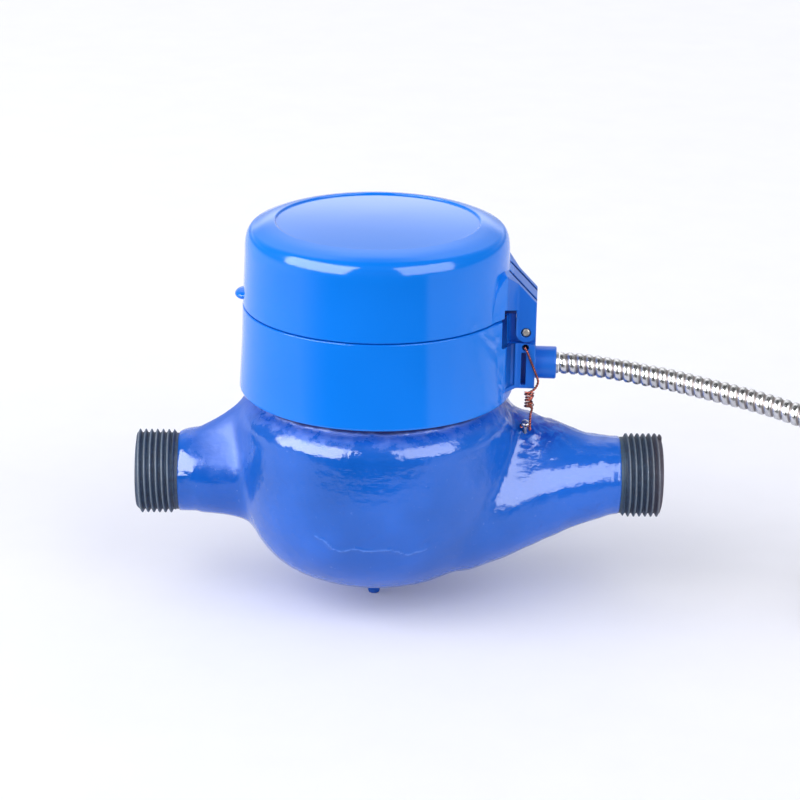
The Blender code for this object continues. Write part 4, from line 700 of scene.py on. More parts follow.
def metal_finish(name, colour, roughness, grain=700.0, depth=0.00004, dark=0.55):
    """Metal with fine grain and dirt in patches."""
    made = Finish(name)
    patches = made.noise(grain * 0.3, 4.0, 0.65)
    fine = made.noise(grain * 3, 3.0)
    low = [c * dark for c in colour]
    made.feed(Base_Color=made.mix(made.ramp(patches, (0.36, 0.0), (0.62, 1.0)), low, colour), Metallic=1.0,
              Roughness=roughness + fine * 0.16, Normal=made.bump(fine, 0.2, depth))
    return made


def plastic_finish(name, colour, roughness=0.42, grain=1400.0, sheen=0.14):
    """Fine-textured moulded plastic."""
    made = Finish(name, IOR=1.48)
    patches = made.noise(60.0, 3.0)
    fine = made.noise(grain, 2.0)
    low = [c * (1 - sheen) for c in colour]
    made.feed(Base_Color=made.mix(made.ramp(patches, (0.35, 0.0), (0.65, 1.0)), low, colour),
              Roughness=roughness + fine * 0.12,
              Normal=made.bump(fine, 0.18, 0.00003, made.softened(0.00015)))
    return made


# Routes.


def bracket_point(x, y, z):
    return BRACKET @ Vector((x, y, z))


def coil_point(bearing, radius, height):
    turn = math.radians(bearing)
    x, y = COIL_CENTRE
    return Vector((x + radius * math.cos(turn), y + radius * math.sin(turn), height))


def conduit_route():
    """The conduit's centreline: out of the gland, down round the coil, and the turns on the ground."""
    radius = sizes().conduit_radius
    route = [bracket_point(CONDUIT_START, 0, GLAND_Z)]
    route += [(0.0630, -0.0047, 0.0384), (0.0700, -0.0057, 0.0378), (0.0770, -0.0071, 0.0371),
              (0.0843, -0.0088, 0.0362), (0.0918, -0.0110, 0.0354), (0.0991, -0.0138, 0.0345),
              (0.1065, -0.0170, 0.0337), (0.1137, -0.0204, 0.0329), (0.1209, -0.0243, 0.0320),
              (0.1290, -0.0290, 0.0306), (0.1375, -0.0341, 0.0284), (0.1460, -0.0392, 0.0254),
              (0.1540, -0.0440, 0.0219), (0.1620, -0.0485, 0.0180)]
    top, landing = 0.0142, GROUND + 3 * radius + 0.0008
    for step in range(15):
        share = step / 14
        ease = share * share * (3 - 2 * share) * 0.35 + share * 0.65
        bearing = COIL_BEARING + 360 * RAMP_TURNS * share
        route.append(coil_point(bearing, COIL_RADIUS, top + (landing - top) * ease))
    floor = GROUND + radius
    start = COIL_BEARING + 360 * RAMP_TURNS
    turns = 46
    for step in range(1, turns + 1):
        share = step / turns
        turn = COIL_TURNS * share
        down = min(1.0, turn / 0.22)
        height = landing + (floor - landing) * down * down * (3 - 2 * down)
        route.append(coil_point(start + 360 * turn, COIL_RADIUS + COIL_PITCH * turn, height))
    heading = coil_heading()
    last = Vector(route[-1])
    for share in (0.5, 1.0):
        spot = last + heading * (END_RUN + 0.002) * share
        spot.z = floor + (SLEEVE_RADIUS - radius) * share
        route.append(spot)
    return route


def coil_heading():
    turn = math.radians(COIL_BEARING + 360 * (RAMP_TURNS + COIL_TURNS))
    return Vector((-math.sin(turn), math.cos(turn), 0))


def coil_end():
    bearing = COIL_BEARING + 360 * (RAMP_TURNS + COIL_TURNS)
    return coil_point(bearing, COIL_RADIUS + COIL_PITCH * COIL_TURNS, GROUND + sizes().conduit_radius)


def tail_route():
    """The lead's free end, out of the sleeve and down onto the ground."""
    heading = coil_heading()
    across = Vector((heading.y, -heading.x, 0))
    start = coil_end() + heading * (END_RUN + 0.0003)
    high, low = GROUND + SLEEVE_RADIUS, GROUND + TAIL_RADIUS
    route = []
    for along, side, height in ((0.0128, 0, high), (0.0170, 0, high - 0.0002),
                                (0.021, -0.0002, high - 0.0008), (0.029, -0.0012, low + 0.0004),
                                (0.037, -0.0034, low), (0.045, -0.0068, low)):
        point = start + heading * along + across * side
        point.z = height
        route.append(point)
    return route


# Operators, one for each piece or group of pieces.


class METER_OT_stage(bpy.types.Operator):
    """Set the camera, the floor, the lamps and the world"""

    bl_idname = "meter.stage"
    bl_label = "Stage"

    def execute(self, context):
        self.camera(context)
        self.floor()
        self.world(context)
        self.softbox("softbox_left", (-55, 25), 1.0, (1.155, 0.81), 35.0, gloss=True)
        self.softbox("softbox_right", (44, 23.5), 1.0, (0.89, 0.73), 14.0, gloss=True)
        self.softbox("side_left", (-86, 18), 1.35, (0.8, 0.8), 6.0, gloss=False)
        self.sun("key_left", (-55, 38), 1.2, 50)
        self.sun("key_right", (44, 36), 0.85, 45)
        context.scene.view_settings.view_transform = "Standard"
        return {"FINISHED"}

    def camera(self, context):
        data = bpy.data.cameras.new("photo_camera")
        data.sensor_width = 36.0
        data.lens = 113.94
        data.shift_x = (FRAME / 2 - ORIGIN_PIXEL[0]) / FRAME
        data.shift_y = (ORIGIN_PIXEL[1] - FRAME / 2) / FRAME
        data.clip_start = 0.02
        camera = bpy.data.objects.new("photo_camera", data)
        context.collection.objects.link(camera)
        way, facing = toward(*CAMERA_BEARING)
        roll = Matrix.Rotation(math.radians(CAMERA_ROLL), 4, "Z")
        camera.matrix_world = Matrix.Translation(way * CAMERA_DISTANCE) @ facing @ roll
        context.scene.camera = camera

    def aimed(self, name, data, bearing, distance, gloss):
        """Put a lamp at (azimuth, elevation) degrees, seen from the meter. One kind is only seen in gloss."""
        way, facing = toward(*bearing)
        item = bpy.data.objects.new(name, data)
        item.visible_diffuse = not gloss
        item.visible_glossy = gloss
        bpy.context.collection.objects.link(item)
        item.matrix_world = Matrix.Translation(way * distance + Vector((0, 0, 0.08))) @ facing

    def softbox(self, name, bearing, distance, size, power, gloss):
        data = bpy.data.lights.new(name, "AREA")
        data.shape = "RECTANGLE"
        data.size, data.size_y = size
        data.energy = power
        self.aimed(name, data, bearing, distance, gloss)

    def sun(self, name, bearing, power, spread):
        data = bpy.data.lights.new(name, "SUN")
        data.energy = power
        data.angle = math.radians(spread)
        self.aimed(name, data, bearing, 2.0, False)

    def floor(self):
        """White paper in two sheets. Gloss sees only the one that ends a little before the meter."""
        made = Sky(bpy.data.materials.new("studio_paper"), "Object")
        fibre = made.ramp(made.noise(40.0, 3.0), (0.3, 0.0), (0.7, 1.0))
        paper = made.mix(fibre, linear(240, 240, 247), linear(242, 242, 249))
        paper = made.node("ShaderNodeBsdfDiffuse", {}, {0: paper})
        seen = made.node("ShaderNodeLightPath", {}, {}, "Is Camera Ray")
        lit = made.choose(seen * 0.08, paper, made.glow(linear(247, 247, 254)))
        made.finished("ShaderNodeOutputMaterial", lit)
        edge = -0.16
        for name, low, high in (("studio_floor", edge, 4.0), ("studio_floor_front", -4.0, edge)):
            floor = fresh(name, bpy.ops.mesh.primitive_plane_add, size=1.0,
                          location=(0, (low + high) / 2, GROUND - 0.0001))
            floor.scale = (8.0, high - low, 1.0)
            bpy.ops.object.transform_apply(location=True, rotation=False, scale=True)
            floor.visible_glossy = low == edge
            floor.visible_diffuse = low == edge
            floor.data.materials.append(made.holder)

    def world(self, context):
        """Even light for the surfaces. Gloss sees a dark room in front, white sides and a bright back."""
        sky = Sky(bpy.data.worlds.new("studio"), "Generated")
        x, y, z = (sky.split(axis) for axis in range(3))
        azimuth = sky.node("ShaderNodeMath", {"operation": "ARCTAN2"}, {0: x, 1: y * -1.0}) / TURN + 0.5
        sides = sky.ramp(azimuth, (0.0, 0.32), (0.22, 0.45), (0.30, 0.42), (0.36, 0.09), (0.388, 0.01),
                         (0.614, 0.01), (0.626, 0.28), (0.75, 0.30), (1.0, 0.32))
        below = sky.ramp(z * -1.0 + 0.5, (0.47, 0.10), (0.53, 1.0))
        aside = (x * x) ** 0.5
        back = sky.ramp(z, (0.10, 0.30), (0.225, 0.80), (0.276, 0.40), (0.33, 0.30), (0.64, 0.64),
                        (0.84, 0.72), (0.885, 0.45), (0.92, 0.08))
        back = back * sky.ramp(y, (0.0, 0.12), (0.45, 0.6), (0.55, 1.0))
        back = back * sky.ramp(aside, (0.1, 1.0), (0.35, 0.6), (0.8, 0.2))
        back = back * sky.ramp(z + 0.5, (0.47, 0.0), (0.53, 1.0))
        low = sky.ramp(z * -1.0, (0.45, 0.0), (0.80, 0.25))
        seen = (sides * below).at_least(back).at_least(low)
        shade = sky.mix(seen, (0.0, 0.0, 0.0), (0.97, 0.98, 1.0))
        path = [sky.node("ShaderNodeLightPath", {}, {}, kind) for kind in ("Is Glossy Ray", "Is Camera Ray")]
        lit = sky.choose(path[0], sky.glow((0.95, 0.965, 1.0), 0.69), sky.glow(shade, 3.0))
        seen_by_eye = sky.choose(path[1], lit, sky.glow(linear(250, 249, 254)))
        sky.finished("ShaderNodeOutputWorld", seen_by_eye)
        context.scene.world = sky.holder


class METER_OT_conduit(bpy.types.Operator):
    """Lay the armoured conduit, its end sleeve and the lead's free end"""

    bl_idname = "meter.conduit"
    bl_label = "Conduit"

    def execute(self, context):
        radius, pitch = sizes().conduit_radius, sizes().conduit_pitch
        route = conduit_route()
        length = length_of(eased(route, 2400))
        around = 20
        count = int(length / pitch * 8)
        points = eased(route, count)
        run = np.linspace(0, length, count)[:, None] / pitch
        phase = (run - np.arange(around)[None] / around) % 1.0
        band = np.clip(np.minimum(phase, 0.72 - phase) / 0.16, 0, 1)
        band = np.sqrt(1 - (1 - band) ** 2)
        radii = radius - 0.00058 * (1 - band) - 0.00012 * np.clip((phase - 0.45) / 0.2, 0, 1) * band
        conduit = tube("armoured_conduit", points, radii, around)
        gap = conduit.data.attributes.new("gap", "FLOAT", "POINT")
        depth = np.zeros(len(conduit.data.vertices), dtype=np.float32)
        depth[:count * around] = (1 - band).ravel()
        gap.data.foreach_set("value", depth)
        smooth(coated(conduit, self.strip_finish()), 60)
        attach(conduit, "meter")
        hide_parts("conduit", "conduit_coil")

        sleeve = self.sleeve()
        eased(route, 400).tolist()
        self.tail()
        self.ferrule()
        return {"FINISHED"}

    def strip_finish(self):
        """Bright rolled strip, with painted shade in the gaps between the turns, which are darker and duller
        there.
        """
        made = Finish("conduit_strip", Metallic=1.0)
        gap = made.attribute("gap")
        patches = made.noise(160.0, 4.0, 0.65)
        fine = made.noise(1500.0, 3.0)
        low = [c * 0.78 for c in colours().steel]
        colour = made.mix(made.ramp(patches, (0.36, 0.0), (0.62, 1.0)), low, colours().steel)
        colour = made.mix(made.ramp(gap, (0.45, 0.0), (0.9, 0.85)), colour, linear(112, 102, 100))
        made.feed(Base_Color=colour, Roughness=fine * 0.12 + gap * 0.2 + 0.20,
                  Normal=made.bump(fine, 0.2, 0.00003))
        return made

    def sleeve(self):
        """A crimped sleeve with two rolled grooves."""
        heading = coil_heading()
        seat = coil_end() + heading * END_RUN
        seat.z = GROUND + SLEEVE_RADIUS
        place = standing(seat, heading)
        outer, bore = SLEEVE_RADIUS, 0.0022
        profile = [(0.0034, 0.0), (outer - 0.0003, 0.0), (outer, 0.0003)]
        for groove in (0.0036, 0.0066):
            profile += [(outer, groove - 0.0007), (outer - 0.00035, groove - 0.0003),
                        (outer - 0.00035, groove + 0.0003), (outer, groove + 0.0007)]
        profile += [(outer, 0.0118), (outer - 0.0006, 0.0136), (outer - 0.0010, SLEEVE_LENGTH),
                    (bore, SLEEVE_LENGTH), (bore, 0.0125), (0.0034, 0.0125), (0.0034, 0.0)]
        sleeve = turned("crimped_sleeve", profile, 64, place)
        smooth(coated(sleeve, metal_finish("sleeve_plate", linear(196, 197, 200), 0.24)), 30)
        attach(sleeve, "meter")
        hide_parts("end_sleeve")
        return sleeve

    def tail(self):
        route = tail_route()
        points = eased(route, 60)
        tail = tube("lead_end", points, TAIL_RADIUS, 24)
        smooth(coated(tail, plastic_finish("lead_jacket", linear(40, 42, 46), 0.45, 2200.0)), 50)
        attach(tail, "meter")
        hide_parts("lead_tail")
        end, back = Vector(points[-1]), Vector(points[-3])
        heading = (end - back).normalized()
        across = Vector((heading.y, -heading.x, 0))
        shades = (190, 40, 36), (226, 200, 60), (40, 90, 180), (224, 226, 228)
        for number, shade in enumerate(shades):
            spread = (-0.75, 0.75, -0.75, 0.75)[number] * 0.001
            rise = (0.55, 0.55, -0.55, -0.55)[number] * 0.001
            path = [end + heading * along + across * spread * out + Vector((0, 0, lift))
                    for along, out, lift in ((-0.003, 1.0, rise), (0.003, 1.3, rise * 1.2),
                                             (0.0065, 2.6 + 0.3 * number, rise * 0.6 - 0.0004))]
            core = tube(f"lead_core_{number + 1}", eased(path, 14), 0.00048, 12)
            smooth(coated(core, plastic_finish(f"core_{number + 1}", linear(*shade), 0.35, 2600.0)), 50)
            way = (path[-1] - path[-2]).normalized()
            bare = [path[-1] + way * along for along in (-0.0005, 0.001, 0.0024)]
            tip = tube(f"core_tip_{number + 1}", bare, 0.00030, 10)
            smooth(coated(tip, metal_finish(f"tinned_{number + 1}", linear(190, 190, 192), 0.3)), 50)
            for piece, slot in ((core, "lead_sheath"), (tip, "steel")):
                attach(piece, "meter")

    def ferrule(self):
        """The plated neck between the gland and the conduit."""
        place = BRACKET @ Matrix.Translation((0, 0, GLAND_Z)) @ Matrix.Rotation(RIGHT, 4, "Y")
        outer, bore, rim = 0.0036, 0.0018, 0.0002
        profile = [(bore, FACE + 0.0004), (outer, FACE + 0.0004), (outer, 0.0553), (outer - rim, 0.0555),
                   (outer - 0.0003, 0.0561), (0.0031, 0.0565), (bore, 0.0565), (bore, FACE + 0.0004)]
        ferrule = turned("plated_neck", profile, 56, place)
        smooth(coated(ferrule, metal_finish("neck_plate", linear(206, 206, 208), 0.26, 600.0)), 30)
        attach(ferrule, "meter")
        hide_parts("entry_ferrule")


def bowl_radius(height):
    """Outer radius of the casting at a height, up to the boss."""
    if height >= BOWL_EQUATOR:
        rise = min(height - BOWL_EQUATOR, SHOULDER)
        return max(BOSS_RADIUS, BOWL_RADIUS - SHOULDER + math.sqrt(SHOULDER ** 2 - rise ** 2))
    share = min(1.0, (BOWL_EQUATOR - height) / BOWL_DEPTH)
    return BOWL_RADIUS * (1 - share ** BOWL_FULLNESS) ** (1 / BOWL_FULLNESS)


# Stations along each neck: x, height of the middle, half height, half width, and the crest's lift and radius.
INLET_NECK = (
    (0.0770, 0.0000, 0.0124, 0.0124, 0.0020, 0.0100), (0.0745, 0.0000, 0.0124, 0.0124, 0.0020, 0.0100),
    (0.0728, -0.0001, 0.0128, 0.0128, 0.0025, 0.0100), (0.0700, -0.0003, 0.0136, 0.0137, 0.0035, 0.0100),
    (0.0670, -0.0006, 0.0141, 0.0143, 0.0045, 0.0100), (0.0580, -0.0016, 0.0161, 0.0168, 0.0098, 0.0098),
    (0.0490, -0.0032, 0.0180, 0.0206, 0.0151, 0.0106), (0.0364, -0.0062, 0.0203, 0.0264, 0.0214, 0.0110),
    (0.0240, -0.0090, 0.0215, 0.0315, 0.0258, 0.0110),
)
OUTLET_NECK = (
    (-0.0620, 0.0000, 0.0125, 0.0125, 0.0000, 0.0100), (-0.0590, 0.0000, 0.0127, 0.0126, 0.0010, 0.0100),
    (-0.0584, 0.0003, 0.0130, 0.0128, 0.0015, 0.0100), (-0.0571, 0.0007, 0.0133, 0.0135, 0.0035, 0.0092),
    (-0.0500, 0.0007, 0.0141, 0.0138, 0.0107, 0.0064), (-0.0440, 0.0006, 0.0148, 0.0141, 0.0158, 0.0062),
    (-0.0380, 0.0002, 0.0160, 0.0149, 0.0210, 0.0062), (-0.0300, 0.0000, 0.0185, 0.0168, 0.0250, 0.0065),
)


def neck_at(stations, x):
    """A neck's middle, half height, half width and crest at x, eased between the stations."""
    table = np.array(sorted(stations))
    spread = np.linspace(-0.0015, 0.0015, 9)
    x = np.atleast_1d(x)
    return [np.mean([np.interp(x + step, table[:, 0], table[:, column]) for step in spread], axis=0)
            for column in range(1, 6)]


def neck_reach(shape, angles):
    """Distance from a neck's middle to its skin at each angle: an oval with a crest over it."""
    _, high, wide, lift, crest = (np.asarray(part)[:, None] for part in shape)
    turns = np.radians(np.arange(0, 360, 3))
    oval = np.sqrt((wide * np.cos(turns)) ** 2 + (high * np.sin(turns)) ** 2)
    support = np.maximum(oval, lift * np.sin(turns) + crest)
    facing = np.cos(angles[:, :, None] - turns)
    return np.where(facing > 0.05, support[:, None, :] / np.maximum(facing, 0.05), 1.0).min(axis=2)


class METER_OT_casting(bpy.types.Operator):
    """Model the cast body: bowl, boss, necks and bores under thick enamel"""

    bl_idname = "meter.casting"
    bl_label = "Casting"

    def neck(self, name, stations):
        xs = np.linspace(stations[0][0], stations[-1][0], 48)
        shape = neck_at(stations, xs)
        around = 96
        angles = np.broadcast_to(-TURN * np.arange(around) / around, (len(xs), around))
        points = np.stack([xs, xs * 0, shape[0]], axis=1)
        return tube(name, points, neck_reach(shape, angles), around)

    def execute(self, context):
        shape = []
        power = 2 / BOWL_FULLNESS
        for step in range(33):
            turn = RIGHT * (1 - step / 32)
            r = BOWL_RADIUS * math.cos(turn) ** power if step else 0.0
            z = BOWL_EQUATOR - BOWL_DEPTH * math.sin(turn) ** power
            if r < CROWN_RADIUS:
                z -= CROWN_DROP * (1 - (r / CROWN_RADIUS) ** 2) ** 2
            shape.append((r, z))
        shape += [point for point in arc((BOWL_RADIUS - SHOULDER, BOWL_EQUATOR), SHOULDER, 0, 68, 12)[1:]
                  if point[0] > BOSS_RADIUS + 0.0002]
        shape += [(BOSS_RADIUS, shape[-1][1] + 0.0006), (BOSS_RADIUS, BOSS_TOP), (0.0, BOSS_TOP)]
        body = turned("cast_body", shape, 128)
        nub_top = BOWL_EQUATOR - BOWL_DEPTH + 0.002
        combined(body, "UNION", self.neck("inlet_neck", INLET_NECK), self.neck("outlet_neck", OUTLET_NECK),
                 cylinder("nub", (0, NUB_FORWARD, GROUND), (0, NUB_FORWARD, nub_top), NUB_RADIUS, 24, 0.0003))
        bore = sizes().thread_root - WATER_WALL
        combined(body, "DIFFERENCE",
                 cylinder("inlet_bore", (INLET_END, 0, 0), (0.0500, 0, -0.0010), bore, 48),
                 cylinder("outlet_bore", (OUTLET_END, 0, 0), (-0.0480, 0, 0.0020), bore, 48),
                 cylinder("boss_bore", (0, 0, 0.0240), (0, 0, 0.0400), 0.0335, 96))
        modified(body, "REMESH", mode="VOXEL", voxel_size=sizes().casting_voxel)
        self.blend_necks(body)
        self.roughen(body)
        finish = enamel_finish()
        smooth(coated(body, finish), 70)
        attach(body, "meter")
        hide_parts("meter_body")
        return {"FINISHED"}

    def blend_necks(self, body):
        """Round the corner where each neck runs into the bowl, and ease the mesher's steps."""
        group = body.vertex_groups.new(name="junction")
        co = np.array([v.co for v in body.data.vertices])
        x, y, z = co.T
        weight = np.zeros(len(co))
        for stations, side in ((INLET_NECK, x > 0), (OUTLET_NECK, x < 0)):
            near = np.nonzero(side & (abs(x) > 0.018) & (abs(x) < 0.060))[0]
            shape = neck_at(stations, x[near])
            rise = z[near] - shape[0]
            skin = neck_reach(shape, np.arctan2(rise, abs(y[near]))[:, None])[:, 0]
            off_neck = abs(np.hypot(y[near], rise) - skin)
            off_bowl = abs(np.hypot(x[near], y[near]) - np.array([bowl_radius(height) for height in z[near]]))
            weight[near] = np.clip(1.5 - (off_bowl + off_neck) / 0.0080, 0, 1)
        weight *= np.clip((0.0275 - z) / 0.004, 0, 1)
        for index in np.nonzero(weight > 0.01)[0]:
            group.add([int(index)], float(weight[index]), "REPLACE")
        modified(body, "SMOOTH", factor=0.5, iterations=4)
        modified(body, "SMOOTH", factor=0.6, iterations=90, vertex_group="junction")

    def roughen(self, body):
        """Casting waves all over, lumps of paint on the inlet's crown, and a run near the foot."""
        co = np.array([v.co for v in body.data.vertices])
        normals = np.array([v.normal for v in body.data.vertices])
        moved = np.zeros(len(co))
        inside = (np.hypot(co[:, 1], co[:, 2]) < 0.0105) | (co[:, 2] > 0.0300)
        for index, spot in enumerate(co):
            if inside[index]:
                continue
            x, y, z = spot
            point = Vector(spot)
            wave = noise.fractal(point * 95.0, 0.6, 2.2, 3) * 0.00010
            wave += noise.noise(point * 42.0) * 0.00016
            crown = max(0.0, 1 - math.hypot((x - 0.050) / 0.020, (z - 0.019) / 0.010))
            crown *= 1.0 if y < 0.012 else 0.3
            if crown:
                lump = max(0.0, noise.fractal(point * 260.0, 0.7, 2.0, 2) + 0.15)
                wave += lump * crown * 0.0004
            moved[index] = wave
        run = self.paint_run(co)
        moved += run
        made = body.data.attributes.new("run", "FLOAT", "POINT")
        made.data.foreach_set("value", np.clip(run / RUN_LIFT, 0, 1))
        co += normals * moved[:, None]
        body.data.vertices.foreach_set("co", co.ravel())
        body.data.update()

    def paint_run(self, co):
        """A thin raised line of run paint low on the front of the bowl, with a pit at its end."""
        line = [(-0.0180, -0.0056), (-0.0150, -0.0070), (-0.0128, -0.0092), (-0.0100, -0.0098),
                (-0.0062, -0.0087), (-0.0030, -0.0091), (0.0028, -0.0088), (0.0062, -0.0092),
                (0.0096, -0.0108), (0.0124, -0.0102), (0.0157, -0.0096)]
        fine = eased([(x, 0.0, z) for x, z in line], 120)[:, (0, 2)]
        front = co[:, 1] < -0.020
        lift = np.zeros(len(co))
        gap = np.full(len(co), 1.0)
        for x, z in fine:
            gap = np.minimum(gap, np.hypot(co[:, 0] - x, (co[:, 2] - z)))
        lift[front] = RUN_LIFT * np.exp(-(gap[front] / 0.00050) ** 2)
        pit = np.hypot(co[:, 0] - 0.0155, co[:, 2] + 0.0075)
        lift[front] -= 0.00045 * np.exp(-(pit[front] / 0.0008) ** 2)
        return lift


class METER_OT_threads(bpy.types.Operator):
    """Cut the two threaded ends"""

    bl_idname = "meter.threads"
    bl_label = "Threads"

    def ridge(self, name, length, steps=72):
        """A rounded thread ridge wound round Z, fading out at both ends."""
        root, crest, pitch = sizes().thread_root, sizes().thread_crest, sizes().thread_pitch
        half = pitch / 2
        flank = [(root - 0.0006, half), (root - 0.00002, half - 0.00004), (root + 0.00025, half * 0.60),
                 (crest - 0.00022, half * 0.24), (crest - 0.00004, half * 0.13)]
        shape = [(r, -z) for r, z in flank] + [(crest, 0.0)] + flank[::-1]
        item = drawn(name, [(r, 0.0, z) for r, z in shape], closed=True)
        edit_all(item)
        bpy.ops.mesh.delete(type="ONLY_FACE")
        leave_edit()
        turns = int(length / pitch)
        modified(item, "SCREW", axis="Z", screw_offset=pitch, angle=TURN, steps=steps, render_steps=steps,
                 iterations=turns, use_normal_calculate=True)
        edit_all(item)
        bpy.ops.mesh.remove_doubles(threshold=WELD)
        bpy.ops.mesh.select_all(action="DESELECT")
        bpy.ops.mesh.select_non_manifold()
        bpy.ops.mesh.edge_face_add()
        bpy.ops.mesh.select_all(action="SELECT")
        bpy.ops.mesh.normals_make_consistent(inside=False)
        leave_edit()
        return item, turns * pitch

    def execute(self, context):
        finish = thread_finish()
        length = 0.0136
        for name, end, facing in (("inlet_thread", INLET_END, 1), ("outlet_thread", OUTLET_END, -1)):
            root = sizes().thread_root
            bore = root - WATER_WALL
            core = turned("core", [(bore, 0.0), (root - 0.0008, 0.0), (root - 0.0002, 0.0006), (root, 0.0012),
                                   (root, length + 0.0016), (bore, length + 0.0016), (bore, 0.0)], 96)
            ridge, wound = self.ridge("ridge", length - 0.0006)
            for vertex in ridge.data.vertices:
                x, y, z = vertex.co
                reach = math.hypot(x, y)
                depth = z + sizes().thread_pitch * 0.5
                limit = root - 0.0004 + min(depth, 0.0016) * 1.05
                tail = max(0.0, wound - z) / 0.0012
                limit = min(limit, root - 0.0004 + tail * 0.0016)
                wear = 1 - 0.0035 * max(0.0, noise.noise(Vector((x, y, z)) * 260.0))
                wanted = min(reach, max(limit, root - 0.0006)) * wear
                vertex.co.x, vertex.co.y = x * wanted / reach, y * wanted / reach
                vertex.co.z = min(max(z, 0.00005), length + 0.0008)
            thread = merged(name, [core, ridge])
            quarter = Matrix.Rotation(-RIGHT if facing > 0 else RIGHT, 4, "Y")
            placed(thread, Matrix.Translation((end, 0, 0)) @ quarter)
            smooth(coated(thread, finish), 40)
            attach(thread, "meter")
        return {"FINISHED"}


def bracket_outline():
    """The hinge bracket from above, with its gussets running into the round wall."""
    turn = math.radians(28.2)
    tangent = (SEAM_RADIUS * math.cos(turn), SEAM_RADIUS * math.sin(turn))
    side = [(FACE, CHEEK), (FACE - 0.0057, CHEEK), tangent, (HOOD_ROOT, 0.0235)]
    outline = side + [(x, -y) for x, y in reversed(side)]
    count = len(outline)
    return rounded(outline, {0: 0.0005, 1: 0.0012, count - 2: 0.0012, count - 1: 0.0005})


class METER_OT_housing(bpy.types.Operator):
    """Mould the housing: skirt, hinge bracket, seal hole and gland"""

    bl_idname = "meter.housing"
    bl_label = "Housing"

    def execute(self, context):
        outer = [(0.0, SKIRT_BOTTOM), (SKIRT_RADIUS - 0.0007, SKIRT_BOTTOM),
                 (SKIRT_RADIUS - 0.0002, SKIRT_BOTTOM + 0.0002), (SKIRT_RADIUS, SKIRT_BOTTOM + 0.0007),
                 (SKIRT_RADIUS - 0.0002, SKIRT_BOTTOM + 0.0050), (SEAM_RADIUS + 0.0003, SEAM_HEIGHT - 0.0110),
                 (SEAM_RADIUS, SEAM_HEIGHT - 0.0002), (SEAM_RADIUS - 0.0002, SEAM_HEIGHT),
                 (LIP_RADIUS, SEAM_HEIGHT), (LIP_RADIUS, LIP_TOP - 0.0003), (LIP_RADIUS - 0.0003, LIP_TOP),
                 (0.0, LIP_TOP)]
        ring = turned("housing_skirt", outer)
        far, wide = FACE + 0.002, 0.0255
        top = 0.0474
        gusset_top = SEAM_HEIGHT - 0.0002
        gussets = prism("gussets", bracket_outline(), BRACKET_BOTTOM, gusset_top, "Z", BRACKET)
        over = [(0.0390, top + 0.0004), (0.0394, top), (PIN_X, top), (far, top - 0.0011), (far, LIP_TOP),
                (0.0390, LIP_TOP)]
        web = PIN_X - KNUCKLE_RADIUS - 0.0003
        foot = top - 0.0014
        knuckle = [(PIN_X + KNUCKLE_RADIUS, foot)] + arc((PIN_X, PIN_Z), KNUCKLE_RADIUS, 0, 180, 24)
        knuckle += [(web, PIN_Z), (web, gusset_top), (0.0372, gusset_top), (0.0372, foot)]
        combined(gussets, "DIFFERENCE", prism("recess", over, -wide, wide, "Y", BRACKET))
        combined(gussets, "DIFFERENCE", self.channel(-1), self.channel(1))
        combined(gussets, "UNION", prism("knuckle", knuckle, -KNUCKLE, KNUCKLE, "Y", BRACKET))
        combined(ring, "UNION", gussets)
        along = BRACKET @ Matrix.Translation((0, 0, GLAND_Z)) @ Matrix.Rotation(RIGHT, 4, "Y")
        gland = [(0, 0.0482), (0.0050, 0.0482), (0.0050, GLAND_END - 0.0004), (0.0048, GLAND_END - 0.0001),
                 (0.0046, GLAND_END), (0, GLAND_END)]
        combined(ring, "UNION", turned("gland", gland, 72, along))
        inner = SEAM_RADIUS - 0.0024
        hollow = [(0, SKIRT_BOTTOM - 0.002), (0.0383, SKIRT_BOTTOM - 0.002), (0.0383, 0.0368),
                  (0.0340, 0.0368), (0.0340, 0.0388), (inner, 0.0388), (inner, SEAM_HEIGHT - 0.0032),
                  (LIP_BORE, SEAM_HEIGHT - 0.0014), (LIP_BORE, LIP_TOP + 0.002), (0, LIP_TOP + 0.002)]
        combined(ring, "DIFFERENCE", turned("hollow", hollow))
        reach = CHEEK + 0.002
        bore = turned("gland_bore", [(0, 0.0465), (0.0039, 0.0465), (0.0039, 0.0580), (0, 0.0580)], 48, along)
        slot = [(0.04495, 0.0340), (0.04645, 0.0340), (0.04645, 0.0444), (0.04495, 0.0444)]
        slot = rounded(slot, dict.fromkeys(range(4), 0.0003), 3)
        cutters = [bore, prism("slot", slot, -reach, -0.0050, "Y", BRACKET),
                   cross_rod("seal_hole", reach, SEAL_Z, 0.00105, 32),
                   cross_rod("pin_bore", reach, PIN_Z, PIN_BORE, 40)]
        combined(ring, "DIFFERENCE", *cutters)
        smooth(coated(ring, housing_finish()), 24)
        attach(ring, "meter")
        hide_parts("housing_ring")
        return {"FINISHED"}

    def channel(self, side):
        """The shallow channel down the gusset beside the cheek."""
        line = [(0.0418, side * 0.0098), (0.0428, side * 0.0090), (0.0440, side * 0.0112),
                (0.0412, side * 0.0152), (0.0401, side * 0.0136)]
        return prism("channel", line, BRACKET_BOTTOM + 0.0012, SEAM_HEIGHT, "Z", BRACKET)


def lid_corner(wall, steps):
    """The lid's rounded corner, and the gentle rise from there to the disc."""
    start, top, run, fullness = 0.0722, 0.0809, 0.0043, 3.0
    centre = LID_RADIUS - run
    points = []
    for step in range(steps + 1):
        turn = math.radians(74) * step / steps
        across, up = math.cos(turn) ** (2 / fullness), math.sin(turn) ** (2 / fullness)
        points.append((centre + (run - wall) * across, start + (top - start - wall) * up))
    last = points[-1]
    goal = (DISC_RADIUS + 0.0002, RIM_TOP - wall)
    for step in range(1, 6):
        share = step / 6
        bow = math.sin(share * math.pi) * 0.00035
        points.append((last[0] + (goal[0] - last[0]) * share, last[1] + (goal[1] - last[1]) * share + bow))
    return points


